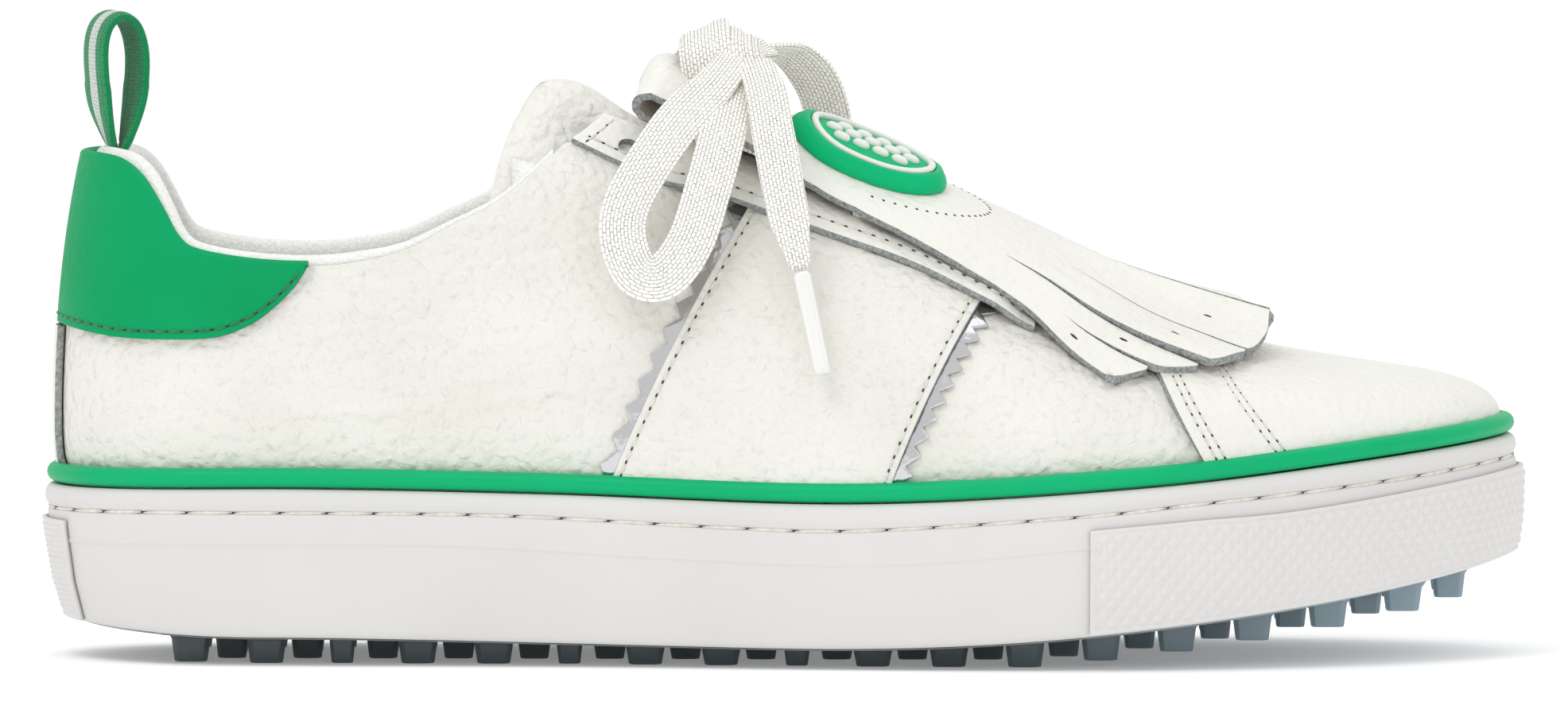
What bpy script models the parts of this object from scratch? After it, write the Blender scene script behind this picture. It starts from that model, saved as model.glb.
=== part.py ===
"""A right-foot golf shoe, as an assembly of separate pieces. Toe along +X, lateral side at -Y, ground at Z = 0.

Lengths in this script are millimetres, measured from the back of the heel; place() turns them into metres
about the middle of the shoe.
"""

import math

import bmesh
import bpy
import mathutils
import numpy as np

# Driving dimensions, in millimetres
MIDDLE = (142.0, 0.7)
FEATHER = [
    (2.6, 0), (9, -18), (25, -29), (52, -32.3), (82, -33.3), (112, -36), (142, -41), (171, -45), (198, -46),
    (225, -42.5), (247, -34), (265, -20.5), (276, -6), (280.5, 9), (276, 24), (264, 35), (246, 42.5),
    (222, 46.5), (197, 47), (170, 44), (140, 37.5), (110, 32.5), (80, 31), (50, 31.5), (25, 28.5), (9, 18),
]
FEATHER_HEIGHT = [(0, 35.6), (45, 36.4), (95, 35.6), (155, 34.2), (210, 37.3), (255, 42), (290, 45.6)]
EDGE_HEIGHT = [(0, 7.6), (30, 5.7), (60, 5.4), (121, 4.3), (160, 4.2), (195, 6.1), (232, 10.4), (268, 16.4), (290, 22.6)]
RIDGE_HEIGHT = [(0, 142), (30, 136), (55, 127), (80, 117.5), (100, 110), (131, 96.8), (166, 82.4), (200, 69.3), (237, 58), (275, 50)]
RIDGE_SIDE = [(0, 0), (110, 0), (170, 2.5), (250, 7), (290, 9)]
FULLNESS = [(0, 2.0), (60, 2.05), (110, 2.15), (150, 2.1), (190, 2.1), (230, 2.25), (290, 2.2)]
TOPLINE = [
    (0, 97.2), (6, 97.2), (11.5, 96.3), (16.5, 93.3), (21, 88), (25, 82.2), (29, 79.7), (40, 77.9), (51, 77.4),
    (60, 78.2), (69, 80.4), (78, 85), (88, 90.4), (100, 100.6),
]
EYESTAY_EDGE = [(100, 100.6), (118, 92.4), (148, 81.2), (166, 74.6), (182, 67.0), (192, 63.5)]
HEEL_FAN = 34.0
TOE_FAN = 232.0

COLOURS = {
    "leather": (0.80, 0.80, 0.75),
    "white_rubber": (0.78, 0.77, 0.76),
    "green": (0.0, 0.34, 0.11),
    "badge_green": (0.0, 0.42, 0.17),
    "tread": (0.10, 0.14, 0.16),
    "foam": (0.72, 0.70, 0.66),
    "board": (0.45, 0.36, 0.26),
    "textile": (0.76, 0.76, 0.73),
    "silver": (0.75, 0.75, 0.76),
    "lace": (0.80, 0.79, 0.73),
    "aglet": (0.82, 0.83, 0.82),
    "stiffener": (0.55, 0.52, 0.46),
}


def clear_scene():
    for obj in list(bpy.data.objects):
        bpy.data.objects.remove(obj, do_unlink=True)


def new_collection(name, hidden=False):
    collection = bpy.data.collections.new(name)
    collection.hide_render = hidden
    bpy.context.scene.collection.children.link(collection)
    return collection


def make_materials():
    found = {}
    for name, colour in COLOURS.items():
        material = bpy.data.materials.new(name)
        material.use_nodes = True
        shader = material.node_tree.nodes["Principled BSDF"]
        shader.inputs["Base Color"].default_value = (*colour, 1.0)
        shader.inputs["Metallic"].default_value = 1.0 if name == "silver" else 0.0
        shader.inputs["Roughness"].default_value = 0.2 if name == "silver" else 0.6
        found[name] = material
    return found


clear_scene()
SHOE = new_collection("golf_shoe")
CUTTERS = new_collection("cutters", hidden=True)
MATERIALS = make_materials()


# Curves and the shape of the last

def smooth_curve(knots, closed=False, samples=16):
    """Points of a Catmull-Rom curve through the knots."""
    knots = np.array(knots, float)
    count = len(knots)
    found = []
    for i in range(count if closed else count - 1):
        if closed:
            a, b, c, d = (knots[(i + k) % count] for k in (-1, 0, 1, 2))
        else:
            a, b, c, d = (knots[min(max(i + k, 0), count - 1)] for k in (-1, 0, 1, 2))
        for t in np.arange(samples) / samples:
            found.append(0.5 * (2 * b + (c - a) * t + (2 * a - 5 * b + 4 * c - d) * t**2
                                + (3 * b - a - 3 * c + d) * t**3))
    if not closed:
        found.append(knots[-1])
    return np.array(found)


def profile(knots):
    """A smooth function of x through (x, value) knots."""
    points = smooth_curve(knots)
    return lambda x: float(np.interp(x, points[:, 0], points[:, 1]))


feather_z = profile(FEATHER_HEIGHT)
edge_z = profile(EDGE_HEIGHT)
ridge_z = profile(RIDGE_HEIGHT)
ridge_y = profile(RIDGE_SIDE)
fullness = profile(FULLNESS)
topline_z = profile(TOPLINE)
eyestay_z = profile(EYESTAY_EDGE)

OUTLINE = smooth_curve(FEATHER, closed=True)
TIP = int(np.argmax(OUTLINE[:, 0]))
SIDES = {"lateral": OUTLINE[:TIP + 1], "medial": np.vstack([OUTLINE[TIP:], OUTLINE[:1]])[::-1]}


def eased(distance, slope, width=14.0):
    """distance where it is positive and slope * distance where it is negative, with a round change between."""
    if distance >= width:
        return distance
    if distance <= -width:
        return slope * distance
    return distance + (1 - slope) * (width - distance) ** 2 / (4 * width)


def spine(x):
    """The point of the centre line that the section through the feather at x starts from."""
    along = HEEL_FAN + eased(x - HEEL_FAN, 0.12) if x < 140 else TOE_FAN - eased(TOE_FAN - x, 0.42)
    return np.array([along, ridge_y(along)])


def feather(side, x):
    """The point of the feather line at x, and the outward direction there in the plan."""
    line = SIDES[side]
    at = np.array([x, np.interp(x, line[:, 0], line[:, 1])])
    i = int(np.clip(np.searchsorted(line[:, 0], x), 2, len(line) - 3))
    along = line[i + 1] - line[i - 2]
    out = np.array([-along[1], along[0]]) * (1 if side == "medial" else -1)
    if x <= SIDES["lateral"][0, 0] + 0.01:
        out = np.array([-1.0, 0.0])
    if x >= SIDES["lateral"][-1, 0] - 0.01:
        out = np.array([1.0, 0.0])
    return at, out / np.linalg.norm(out)


def plain_surface(side, x, z):
    """The last's surface on one side, at the height z of the section that starts at the feather at x."""
    at, _ = feather(side, x)
    centre = spine(x)
    low, high = feather_z(at[0]), ridge_z(centre[0])
    level = min((z - low) / (high - low), 1.0)
    power = fullness(centre[0])
    if level <= 0:
        spread = 1.0
    else:
        spread = (1 - level**power) ** (1 / power) * (1 + 0.12 * level * (1 - level) * (x < 60) * (60 - x) / 60)
    plan = centre + (at - centre) * spread
    reach = max(np.linalg.norm(at - centre), 1.0)
    tuck = 1.4 * math.exp(-max(z - low, 0) / 2.5) + 0.05 * max(low - z, 0)
    plan = plan + (centre - at) / reach * tuck * min(spread * 2, 1)
    return np.array([plan[0], plan[1], z])


def surface(side, x, z, out=0.0):
    """A point out millimetres off the last's surface, along its normal."""
    point = plain_surface(side, x, z)
    if not out:
        return point
    low, high = SIDES["lateral"][0, 0] + 0.05, SIDES["lateral"][-1, 0] - 0.05
    top = ridge_z(spine(x)[0]) - 0.02
    x0, x1 = max(x - 1, low), min(x + 1, high)
    z0, z1 = min(z - 0.6, top - 1), min(z + 0.6, top)
    along = plain_surface(side, x1, z) - plain_surface(side, x0, z)
    if x <= low + 1 or x >= high - 1:
        along = plain_surface("medial", min(max(x, low + 1), high - 1), z)
        along = along - plain_surface("lateral", min(max(x, low + 1), high - 1), z)
        along = along * (1 if (side == "lateral") == (x > 100) else -1)
    up = plain_surface(side, x, z1) - plain_surface(side, x, z0)
    normal = np.cross(along, up) * (1 if side == "lateral" else -1)
    return point + normal / max(np.linalg.norm(normal), 1e-9) * out


# Building solids

def place(point):
    return ((point[0] - MIDDLE[0]) / 1000, (point[1] - MIDDLE[1]) / 1000, point[2] / 1000)


def add_object(name, bm, material, collection=SHOE):
    mesh = bpy.data.meshes.new(name)
    bm.to_mesh(mesh)
    bm.free()
    obj = bpy.data.objects.new(name, mesh)
    mesh.materials.append(MATERIALS[material])
    collection.objects.link(obj)
    return obj


def set_origin(obj, point):
    """Moves the object's origin to the point and leaves its shape where it is."""
    home = place(point)
    for vertex in obj.data.vertices:
        vertex.co = [vertex.co[k] - home[k] for k in range(3)]
    obj.location = home


def sheet(name, rows, thickness, material, skip=None, closed=False, inside=40.0):
    """A skin of the given thickness, grown inwards from the grid of points in rows."""
    bm = bmesh.new()
    grid = [[bm.verts.new(place(point)) for point in row] for row in rows]
    columns = len(rows[0])
    for i in range(len(rows) - 1):
        for j in range(columns if closed else columns - 1):
            if skip and skip(i, j):
                continue
            k = (j + 1) % columns
            bm.faces.new((grid[i][j], grid[i][k], grid[i + 1][k], grid[i + 1][j]))
    bmesh.ops.delete(bm, geom=[v for v in bm.verts if not v.link_faces], context="VERTS")
    bmesh.ops.remove_doubles(bm, verts=bm.verts, dist=0.00005)
    bm.normal_update()
    outward = 0.0
    for face in bm.faces:
        centre = face.calc_center_median()
        inner = place((0, ridge_y(centre.x * 1000 + MIDDLE[0]), inside))
        outward += face.normal.y * (centre.y - inner[1]) + face.normal.z * (centre.z - inner[2])
    if outward < 0:
        bmesh.ops.reverse_faces(bm, faces=bm.faces)
    obj = add_object(name, bm, material)
    solid = obj.modifiers.new("thickness", "SOLIDIFY")
    solid.thickness = thickness / 1000
    solid.offset = -1
    solid.use_even_offset = False
    return obj


def loft(name, rings, material, collection=SHOE):
    """A closed body through rings of points that run the same way round, with a ladder of faces as each cap."""
    bm = bmesh.new()
    grid = [[bm.verts.new(place(point)) for point in ring] for ring in rings]
    count = len(rings[0])
    for lower, upper in zip(grid, grid[1:]):
        for j in range(count):
            k = (j + 1) % count
            bm.faces.new((lower[j], lower[k], upper[k], upper[j]))
    for ring in (grid[0], grid[-1]):
        for j in range(count // 2):
            face = [ring[j], ring[j + 1], ring[(-j - 1) % count], ring[-j % count]]
            bm.faces.new(list(dict.fromkeys(face)))
    bmesh.ops.recalc_face_normals(bm, faces=bm.faces)
    return add_object(name, bm, material, collection)


def stations(first, last, step):
    return list(np.linspace(first, last, max(int(round((last - first) / step)), 1) + 1))


TOE_END = float(SIDES["lateral"][-1, 0])
HEEL_END = float(SIDES["lateral"][0, 0])


def fan_stations(first, last, step):
    """Stations along x, closer together towards the heel's and the toe's end, where the outline turns."""
    found = stations(first, last, step)
    middle = (HEEL_END + TOE_END) / 2
    half = (TOE_END - HEEL_END) / 2
    angles = np.linspace(math.asin(np.clip((first - middle) / half, -1, 1)),
                         math.asin(np.clip((last - middle) / half, -1, 1)), len(found) + 6)
    return [middle + half * math.sin(angle) for angle in angles]


def around_heel(until, step):
    """(side, x) pairs from the lateral station round the back of the heel to the medial one."""
    line = fan_stations(HEEL_END, until, step)
    return [("lateral", x) for x in reversed(line)] + [("medial", x) for x in line[1:]]


def around_toe(since, step):
    line = fan_stations(since, TOE_END, step)
    return [("lateral", x) for x in line] + [("medial", x) for x in reversed(line[:-1])]


def ring(out, height, step=12.0):
    """The feather outline moved out by out(x), at the height height(x), once round."""
    found = []
    for side, x in around_toe(HEEL_END, step)[:-1]:
        at, away = feather(side, x)
        found.append((*(at + away * out(at[0])), height(at[0])))
    return found


# Sole unit

RIM_OUT, RIM_DROP = 2.6, 2.2
MID_OUT = profile([(0, 2.6), (40, 3.2), (240, 3.3), (290, 4.0)])
EDGE_OUT = profile([(0, -1.8), (20, 0.4), (45, 1.6), (240, 1.8), (290, 3.0)])
WALL_IN = 0.9
STUD_PITCH = 14.6
STUD_DROP = 5.6
STUD_MARGIN = 5.5
STUD_FRONT = 270.5


def wall_out(x, level):
    """How far the cup's outer wall stands off the feather line, from the rim (level 0) to its lower edge (1)."""
    knots = (RIM_OUT, RIM_OUT + 0.4, MID_OUT(x), (MID_OUT(x) + EDGE_OUT(x)) / 2 + 0.3, EDGE_OUT(x))
    return float(np.interp(level, (0, 0.12, 0.3, 0.7, 1), knots))


def wall_z(x, level):
    top = feather_z(x) - RIM_DROP
    return top + (edge_z(x) - top) * level


def wall_ring(level, extra=0.0):
    return ring(lambda x: wall_out(x, level) + extra, lambda x: wall_z(x, level))


def make_cupsole():
    rings = [
        ring(lambda x: EDGE_OUT(x) - 4.4, lambda x: edge_z(x) + 2.7),
        ring(lambda x: EDGE_OUT(x) - 3.7, edge_z),
        *(wall_ring(level) for level in (1, 0.7, 0.3, 0.12, 0)),
        ring(lambda x: -WALL_IN, lambda x: feather_z(x) - RIM_DROP),
        ring(lambda x: -WALL_IN, lambda x: feather_z(x) - 12.4),
        ring(lambda x: -3.4, lambda x: edge_z(x) + 6.0),
    ]
    loft("cupsole", rings, "white_rubber")


def make_bumper(name, pairs, top):
    """A textured rubber patch bonded on the outside of the cup, from the height top(x) down to the lower edge."""
    rows = []
    for step in range(5):
        row = []
        for side, x in pairs:
            at, away = feather(side, x)
            high = feather_z(x) - RIM_DROP
            first = (high - top(x)) / (high - edge_z(x))
            level = first + (0.97 - first) * step / 4
            row.append((*(at + away * (wall_out(x, level) + 1.3)), wall_z(x, level)))
        rows.append(row)
    sheet(name, rows, 0.9, "white_rubber", inside=60.0)


def make_piping():
    curve = bpy.data.curves.new("piping_strip", "CURVE")
    curve.dimensions = "3D"
    curve.bevel_depth = 0.0019
    curve.bevel_resolution = 1
    points = ring(lambda x: 1.15, feather_z)
    spline = curve.splines.new("POLY")
    spline.points.add(len(points) - 1)
    for point, spot in zip(spline.points, points):
        point.co = (*place(spot), 1)
    spline.use_cyclic_u = True
    curve.materials.append(MATERIALS["green"])
    SHOE.objects.link(bpy.data.objects.new("piping_strip", curve))


def stud_places():
    """(x, share of the half width, width) of every stud: outer rows in pairs with a small one between, inner rows."""
    for i in range(17):
        small = i % 3 == 2 and i < 11
        for share in (-0.8, 0.8):
            yield 27.8 + STUD_PITCH * i, share, 4.6 if small else 7.0
    for i in range(16):
        for share in (-0.3, 0.3):
            yield 35.5 + STUD_PITCH * i, share, 6.0
    for share in (-0.6, 0.6):
        yield STUD_FRONT, share, 6.0


def make_tread():
    """The tread plate with its moulded studs, bonded into the recess under the cup."""
    lower = ring(lambda x: EDGE_OUT(x) - 4.9, lambda x: edge_z(x) + 0.4)
    upper = ring(lambda x: EDGE_OUT(x) - 4.9, lambda x: edge_z(x) + 2.3)
    plate = loft("tread_plate", [lower, upper], "tread")
    studs = bmesh.new()
    for x, share, width in stud_places():
        low = feather("lateral", x)[0][1] + STUD_MARGIN
        high = feather("medial", x)[0][1] - STUD_MARGIN
        y = (low + high) / 2 + share * (high - low) / 2
        bottom = max(edge_z(x) - STUD_DROP, 0.0)
        top = edge_z(x) + 1.3
        made = bmesh.ops.create_cone(studs, cap_ends=True, segments=4, depth=(top - bottom) / 1000,
                                     radius1=width / 1550, radius2=width / 1330)
        for vertex in made["verts"]:
            turned = np.array([vertex.co.x + vertex.co.y, vertex.co.y - vertex.co.x]) / math.sqrt(2)
            home = place((x, y, (bottom + top) / 2))
            vertex.co = (home[0] + turned[0], home[1] + turned[1], home[2] + vertex.co.z)
    cutter = add_object("stud_block", studs, "tread", CUTTERS)
    cutter.hide_render = True
    cutter.display_type = "WIRE"
    union = plate.modifiers.new("studs", "BOOLEAN")
    union.operation = "UNION"
    union.object = cutter


def make_inner_sole():
    midsole = [ring(lambda x: -3.9, lambda x: edge_z(x) + 6.4), ring(lambda x: -1.4, lambda x: feather_z(x) - 12.9)]
    loft("eva_midsole", midsole, "foam")
    board = [ring(lambda x: -3.4, lambda x: feather_z(x) - down) for down in (12.4, 10.6)]
    loft("lasting_board", board, "board")
    liner = [ring(lambda x: -8.0, lambda x: feather_z(x) - down) for down in (10.1, 5.8)]
    loft("sockliner", liner, "textile")


make_cupsole()
make_bumper("toe_bumper", around_toe(200.6, 9), profile([(200, 27.2), (220, 29), (243, 31), (290, 38.0)]))
make_bumper("heel_bumper", around_heel(6.5, 2), lambda x: 28.0)
make_piping()
make_tread()
make_inner_sole()


# Upper: panels cut to the last and stacked in layers

LEATHER = 1.2
ON_QUARTER, ON_SADDLE = 1.6, 3.9
LASTED_DOWN = 11.9
LINING_DOWN = 9.6
PIPING_TOP = 2.4
THROAT = 190.0
SIDE_SEAM = 150.0


def height_at(side, x, reach):
    """The height at which the section at x is reach millimetres away from the centre line."""
    low, high = feather_z(x), ridge_z(spine(x)[0])
    for _ in range(18):
        middle = (low + high) / 2
        if abs(plain_surface(side, x, middle)[1] - ridge_y(x)) > reach:
            low = middle
        else:
            high = middle
    return low


def side_rows(pairs, low, high, count, out):
    """Rows of points up the side, from the height low(x) to high(x), at each (side, x) of pairs."""
    return [[surface(side, x, low(x) + (high(x) - low(x)) * i / count, out) for side, x in pairs]
            for i in range(count + 1)]


def over_rows(start, shares, arcs, out, foot=0.0):
    """Columns that run from the lateral feather over the ridge to the medial one, as far as the toe's tip.

    start(level) is the x at which the piece begins, by level from the feather (0) to the ridge (1), and foot is
    how far over the feather line (below it, if negative) the piece ends.
    """
    columns = []
    for share in shares:
        column = []
        for side in ("lateral", "medial"):
            x = start(0) + (TOE_END - start(0)) * share
            half = [surface(side, x, feather_z(x) + foot, out)]
            for k in range(0 if foot < 0 else 1, arcs + 1):
                level = math.sin(k / arcs * math.pi / 2)
                x = start(level) + (TOE_END - start(level)) * share
                high = ridge_z(spine(x)[0])
                half.append(surface(side, x, feather_z(x) + (high - feather_z(x)) * level, out))
            column += half if side == "lateral" else half[-2::-1]
        columns.append(column)
    return columns


def quarter_top(x):
    if x < 100:
        return topline_z(x)
    return eyestay_z(x) + min(6.0, (x - 100) * 0.5)


def make_quarter(side):
    pairs = [(side, x) for x in fan_stations(HEEL_END + 0.03, SIDE_SEAM, 9.5)]
    rows = side_rows(pairs, lambda x: feather_z(x) - LASTED_DOWN, quarter_top, 7, 0)
    sheet(f"quarter_{side}", rows, LEATHER, "leather")


def toward_tip(count):
    return [math.sin(k / count * math.pi / 2) for k in range(count + 1)]


def make_vamp():
    start, last = SIDE_SEAM + 0.6, 232.0
    shares = [k / 10 * (last - start) / (TOE_END - start) for k in range(11)]
    rows = over_rows(lambda level: start, shares, 6, 0, -LASTED_DOWN)
    behind = sum(start + (TOE_END - start) * share < THROAT for share in shares)
    middle = len(rows[0]) // 2

    def open_throat(i, j):
        return i < behind - 1 and middle - 2 <= j < middle + 2

    sheet("vamp", rows, LEATHER, "leather", skip=open_throat)


def cap_edge(level):
    """The rear edge of the toe cap, which leans back as it climbs."""
    return 223.0 - 14.0 * level


def make_toe_cap():
    rows = over_rows(cap_edge, toward_tip(8), 6, ON_QUARTER, PIPING_TOP)
    sheet("toe_cap", rows, LEATHER, "leather")


def make_toe_puff():
    rows = over_rows(lambda level: 234.0, toward_tip(7), 5, -1.6, 1.0)
    sheet("toe_puff", rows, 0.8, "stiffener")


SADDLE_REAR = (109.0, 135.6)  # where the panel's rear edge stands at the sole and at the eyestay
SADDLE_FRONT = (162.7, 180.3)
SADDLE_OUT = 2.2
UNDERLAY_OUT = 0.9
PINK_VALLEY, PINK_POINT = 1.2, 3.4  # how far the underlay's teeth reach past the panel


def make_saddle(side):
    """The saddle panel, and under it the mirror-finish strip whose pinked teeth show along both edges."""
    def panel(name, count, columns, spread, out, thickness, material):
        rows = []
        for i in range(count + 1):
            t = i / count
            first = np.interp(t, (0, 1), SADDLE_REAR) - spread(i)
            last = np.interp(t, (0, 1), SADDLE_FRONT) + spread(i)
            row = []
            for x in stations(first, last, (last - first) / columns):
                low, high = feather_z(x) + PIPING_TOP, eyestay_z(x) + SADDLE_OUT
                row.append(surface(side, x, low + (high - low) * t, out))
            rows.append(row)
        sheet(name, rows, thickness, material)

    panel(f"saddle_panel_{side}", 11, 6, lambda i: 0.0, SADDLE_OUT, 1.0, "leather")
    panel(f"pinked_underlay_{side}", 22, 5, lambda i: PINK_POINT if i % 2 else PINK_VALLEY, UNDERLAY_OUT, 0.5, "silver")


EYELETS = (112.0, 126.0, 141.0, 155.5, 168.5, 181.0)
EYELET_RADIUS = 2.3
EYELET_REACH = 17.0
EYESTAY_REACH = 11.0


def eyestay_out(x):
    """The eyestay lies on the quarter, and climbs over the top of the saddle panel."""
    climb = np.clip(min((x - 118) / 10, (187 - x) / 6), 0, 1)
    return ON_QUARTER + (ON_SADDLE - ON_QUARTER) * climb


def make_eyestay(side):
    rows = []
    for i in range(5):
        row = []
        for x in np.linspace(101 + 1.5 * i, THROAT, 14):
            low, high = eyestay_z(x), height_at(side, x, EYESTAY_REACH)
            row.append(surface(side, x, low + (high - low) * i / 4, eyestay_out(x)))
        rows.append(row)
    stay = sheet(f"eyestay_{side}", rows, LEATHER, "leather")
    bm = bmesh.new()
    for x in EYELETS:
        z = height_at(side, x, EYELET_REACH)
        outer, inner = (np.array(place(surface(side, x, z, out))) for out in (8, -4))
        axis = outer - inner
        made = bmesh.ops.create_cone(bm, cap_ends=True, segments=10, radius1=EYELET_RADIUS / 1000,
                                     radius2=EYELET_RADIUS / 1000, depth=np.linalg.norm(axis))
        turn = mathutils.Vector(axis).to_track_quat("Z", "Y")
        for vertex in made["verts"]:
            vertex.co = turn @ vertex.co + mathutils.Vector((outer + inner) / 2)
    punch = add_object(f"eyelet_punch_{side}", bm, "stiffener", CUTTERS)
    punch.hide_render = True
    punch.display_type = "WIRE"
    cut = stay.modifiers.new("eyelets", "BOOLEAN")
    cut.operation = "DIFFERENCE"
    cut.object = punch


TONGUE_FRONT = 183.0
TONGUE_REACH = 22.0
TONGUE_THICK = 4.4
TONGUE_OUT = -4.6
TONGUE_RISE = 4.0
CROWN_EDGE, CROWN_WIDTH = 13.0, 8.0  # the padded middle falls to the sides between these reaches
CLOSEST = 0.6  # the nearest that a point on one side comes to the centre line


def tongue_end(share):
    """Where the tongue's upper end lies: square across the instep, so its sides start further back."""
    return 97.5 - 10.5 * share**2


def make_tongue():
    count = 10
    rows = []
    for k in range(count + 1):
        row = []
        for j in range(count + 1):
            share = 2 * j / count - 1
            x = tongue_end(share) + (TONGUE_FRONT - tongue_end(share)) * k / count
            side = "lateral" if share < 0 else "medial"
            away = max(TONGUE_REACH * abs(share), CLOSEST)
            crown = np.clip((CROWN_EDGE - away) / CROWN_WIDTH, 0, 1)
            out = TONGUE_OUT + TONGUE_RISE * crown * crown * (3 - 2 * crown)
            row.append(surface(side, x, height_at(side, x, away), out))
        rows.append(row)
    sheet("tongue", rows, TONGUE_THICK, "leather")


tab_low = profile([(2, 64.8), (13, 63), (23, 62.7), (33, 63.3), (40, 66), (45, 69.8), (50, 75)])
COUNTER_OUT = -1.75
LINING_OUT = -3.0
LINING_THICK = 2.6
VAMP_LINING_REAR = 86.0


def make_heel_pieces():
    rows = side_rows(around_heel(50, 6), tab_low, lambda x: topline_z(x) + 0.5, 4, ON_QUARTER)
    sheet("heel_tab", rows, LEATHER, "green")
    rows = side_rows(around_heel(4.6, 1), lambda x: feather_z(x) + PIPING_TOP, lambda x: 62.0, 3, ON_QUARTER)
    sheet("backstay_strip", rows, 1.1, "leather")
    rows = side_rows(around_heel(72, 7), lambda x: feather_z(x) + 4.5, lambda x: 66.0, 3, COUNTER_OUT)
    sheet("heel_counter", rows, 1.0, "stiffener")
    rows = side_rows(around_heel(84, 7), lambda x: feather_z(x) - LINING_DOWN, lambda x: topline_z(x) + 1, 4, LINING_OUT)
    sheet("collar_lining", rows, LINING_THICK, "textile")


def make_vamp_lining():
    shares = [math.sin(k / 14 * math.pi / 2) for k in range(15)]
    rows = over_rows(lambda level: VAMP_LINING_REAR, shares, 5, LINING_OUT, -LINING_DOWN)
    middle = len(rows[0]) // 2
    behind = sum(VAMP_LINING_REAR + (TOE_END - VAMP_LINING_REAR) * share < THROAT for share in shares)

    def open_throat(i, j):
        return i < behind and middle - 3 <= j < middle + 3

    sheet("vamp_lining", rows, 1.0, "textile", skip=open_throat)


for each in ("lateral", "medial"):
    make_quarter(each)
    make_saddle(each)
    make_eyestay(each)
make_vamp()
make_toe_cap()
make_toe_puff()
make_tongue()
make_heel_pieces()
make_vamp_lining()


# Kiltie: a folded leather flap over the laces. Its front part lifts, bending at the fold under the lace knot.

KILTIE_LINE = [(121, 116.0), (133, 110.4), (147, 102.6), (160, 97.1), (173.3, 91.4), (191.6, 83.4), (210, 76.2), (236, 68.6)]
KILTIE_THICK = 1.7
KILTIE_HINGE = 26.0
FINGERS = 8
HALF_CUT = 0.015  # as a share of the flap's half width
ROLL_RADIUS = 4.1
UNDERLAP = 6.0
HINGE_GAP = 0.5


def measured_line(knots):
    points = smooth_curve(knots)
    steps = np.linalg.norm(np.diff(points, axis=0), axis=1)
    return points, np.concatenate([[0], np.cumsum(steps)])


KILTIE_POINTS, KILTIE_REACH = measured_line(KILTIE_LINE)
kiltie_half = profile([(-40, 18), (18, 18), (40, 21.5), (60, 24.4), (80, 28.9), (97, 36.8), (128, 41.5)])
kiltie_radius = profile([(-40, 28), (25, 28), (40, 30), (60, 35), (80, 41), (97, 47), (128, 52)])
kiltie_tilt = profile([(-40, 0.12), (60, 0.13), (128, 0.22)])
kiltie_settle = profile([(-40, 0), (70, 0), (108, 1), (128, 1)])
kiltie_droop = profile([(0, 0), (0.15, 2.4), (0.33, 3.1), (0.62, 0.6), (0.8, 0), (1, 0)])
FINGER_EDGES = (-1.0, -0.8, -0.62, -0.33, 0.0, 0.33, 0.62, 0.8, 1.0)  # as shares of the flap's half width
FINGER_ENDS = (102.5, 110.0, 118.0, 123.0, 123.0, 118.0, 110.0, 102.5)
CUT_STARTS = (88.0, 73.0, 85.0, 93.0, 85.0, 73.0, 88.0)


def kiltie_frame(s):
    """The centre point, direction and upward normal of the kiltie's long section at s millimetres from the fold."""
    at = np.array([np.interp(s, KILTIE_REACH, KILTIE_POINTS[:, k]) for k in (0, 1)])
    ahead = np.array([np.interp(min(s + 2, KILTIE_REACH[-1]), KILTIE_REACH, KILTIE_POINTS[:, k]) for k in (0, 1)])
    back = np.array([np.interp(max(s - 2, 0), KILTIE_REACH, KILTIE_POINTS[:, k]) for k in (0, 1)])
    along = (ahead - back) / np.linalg.norm(ahead - back)
    return at, along, np.array([-along[1], along[0]])


def kiltie_point(s, share, out=0.0):
    """The point at s along the kiltie and share (-1 to 1) across it, out millimetres above its grain side."""
    at, _, up = kiltie_frame(s)
    radius = kiltie_radius(s)
    angle = share * kiltie_half(s) / radius - kiltie_tilt(s)
    radial = radius + out
    rise = radial * math.cos(angle) - radius
    plan = at + up * rise
    droop = kiltie_settle(s) * kiltie_droop(abs(share))
    return np.array([plan[0], ridge_y(130) + radial * math.sin(angle), plan[1] - droop])


def make_flap():
    """The moving flap, cut into eight fingers that end at their own lengths."""
    shares = []
    for finger in range(FINGERS):
        low, high = FINGER_EDGES[finger:finger + 2]
        shares.append(low + (HALF_CUT if finger else 0))
        shares.append(high - (HALF_CUT if finger < FINGERS - 1 else 0))
    solid_steps, finger_steps = 6, 4
    rows = []
    for k in range(solid_steps + finger_steps + 1):
        row = []
        for j, share in enumerate(shares):
            finger = j // 2
            edge = finger - (j % 2 == 0)
            cut = CUT_STARTS[min(max(edge, 0), FINGERS - 2)]
            if k <= solid_steps:
                s = KILTIE_HINGE + (cut - KILTIE_HINGE) * k / solid_steps
            else:
                s = cut + (FINGER_ENDS[finger] - cut) * (k - solid_steps) / finger_steps
            row.append(kiltie_point(s, share))
        rows.append(row)

    def between_fingers(i, j):
        return i >= solid_steps and j % 2 == 1

    flap = sheet("kiltie_flap", rows, KILTIE_THICK, "leather", skip=between_fingers, inside=20.0)
    hinge, _, _ = kiltie_frame(KILTIE_HINGE)
    set_origin(flap, (hinge[0], ridge_y(130), hinge[1]))
    return flap


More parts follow.
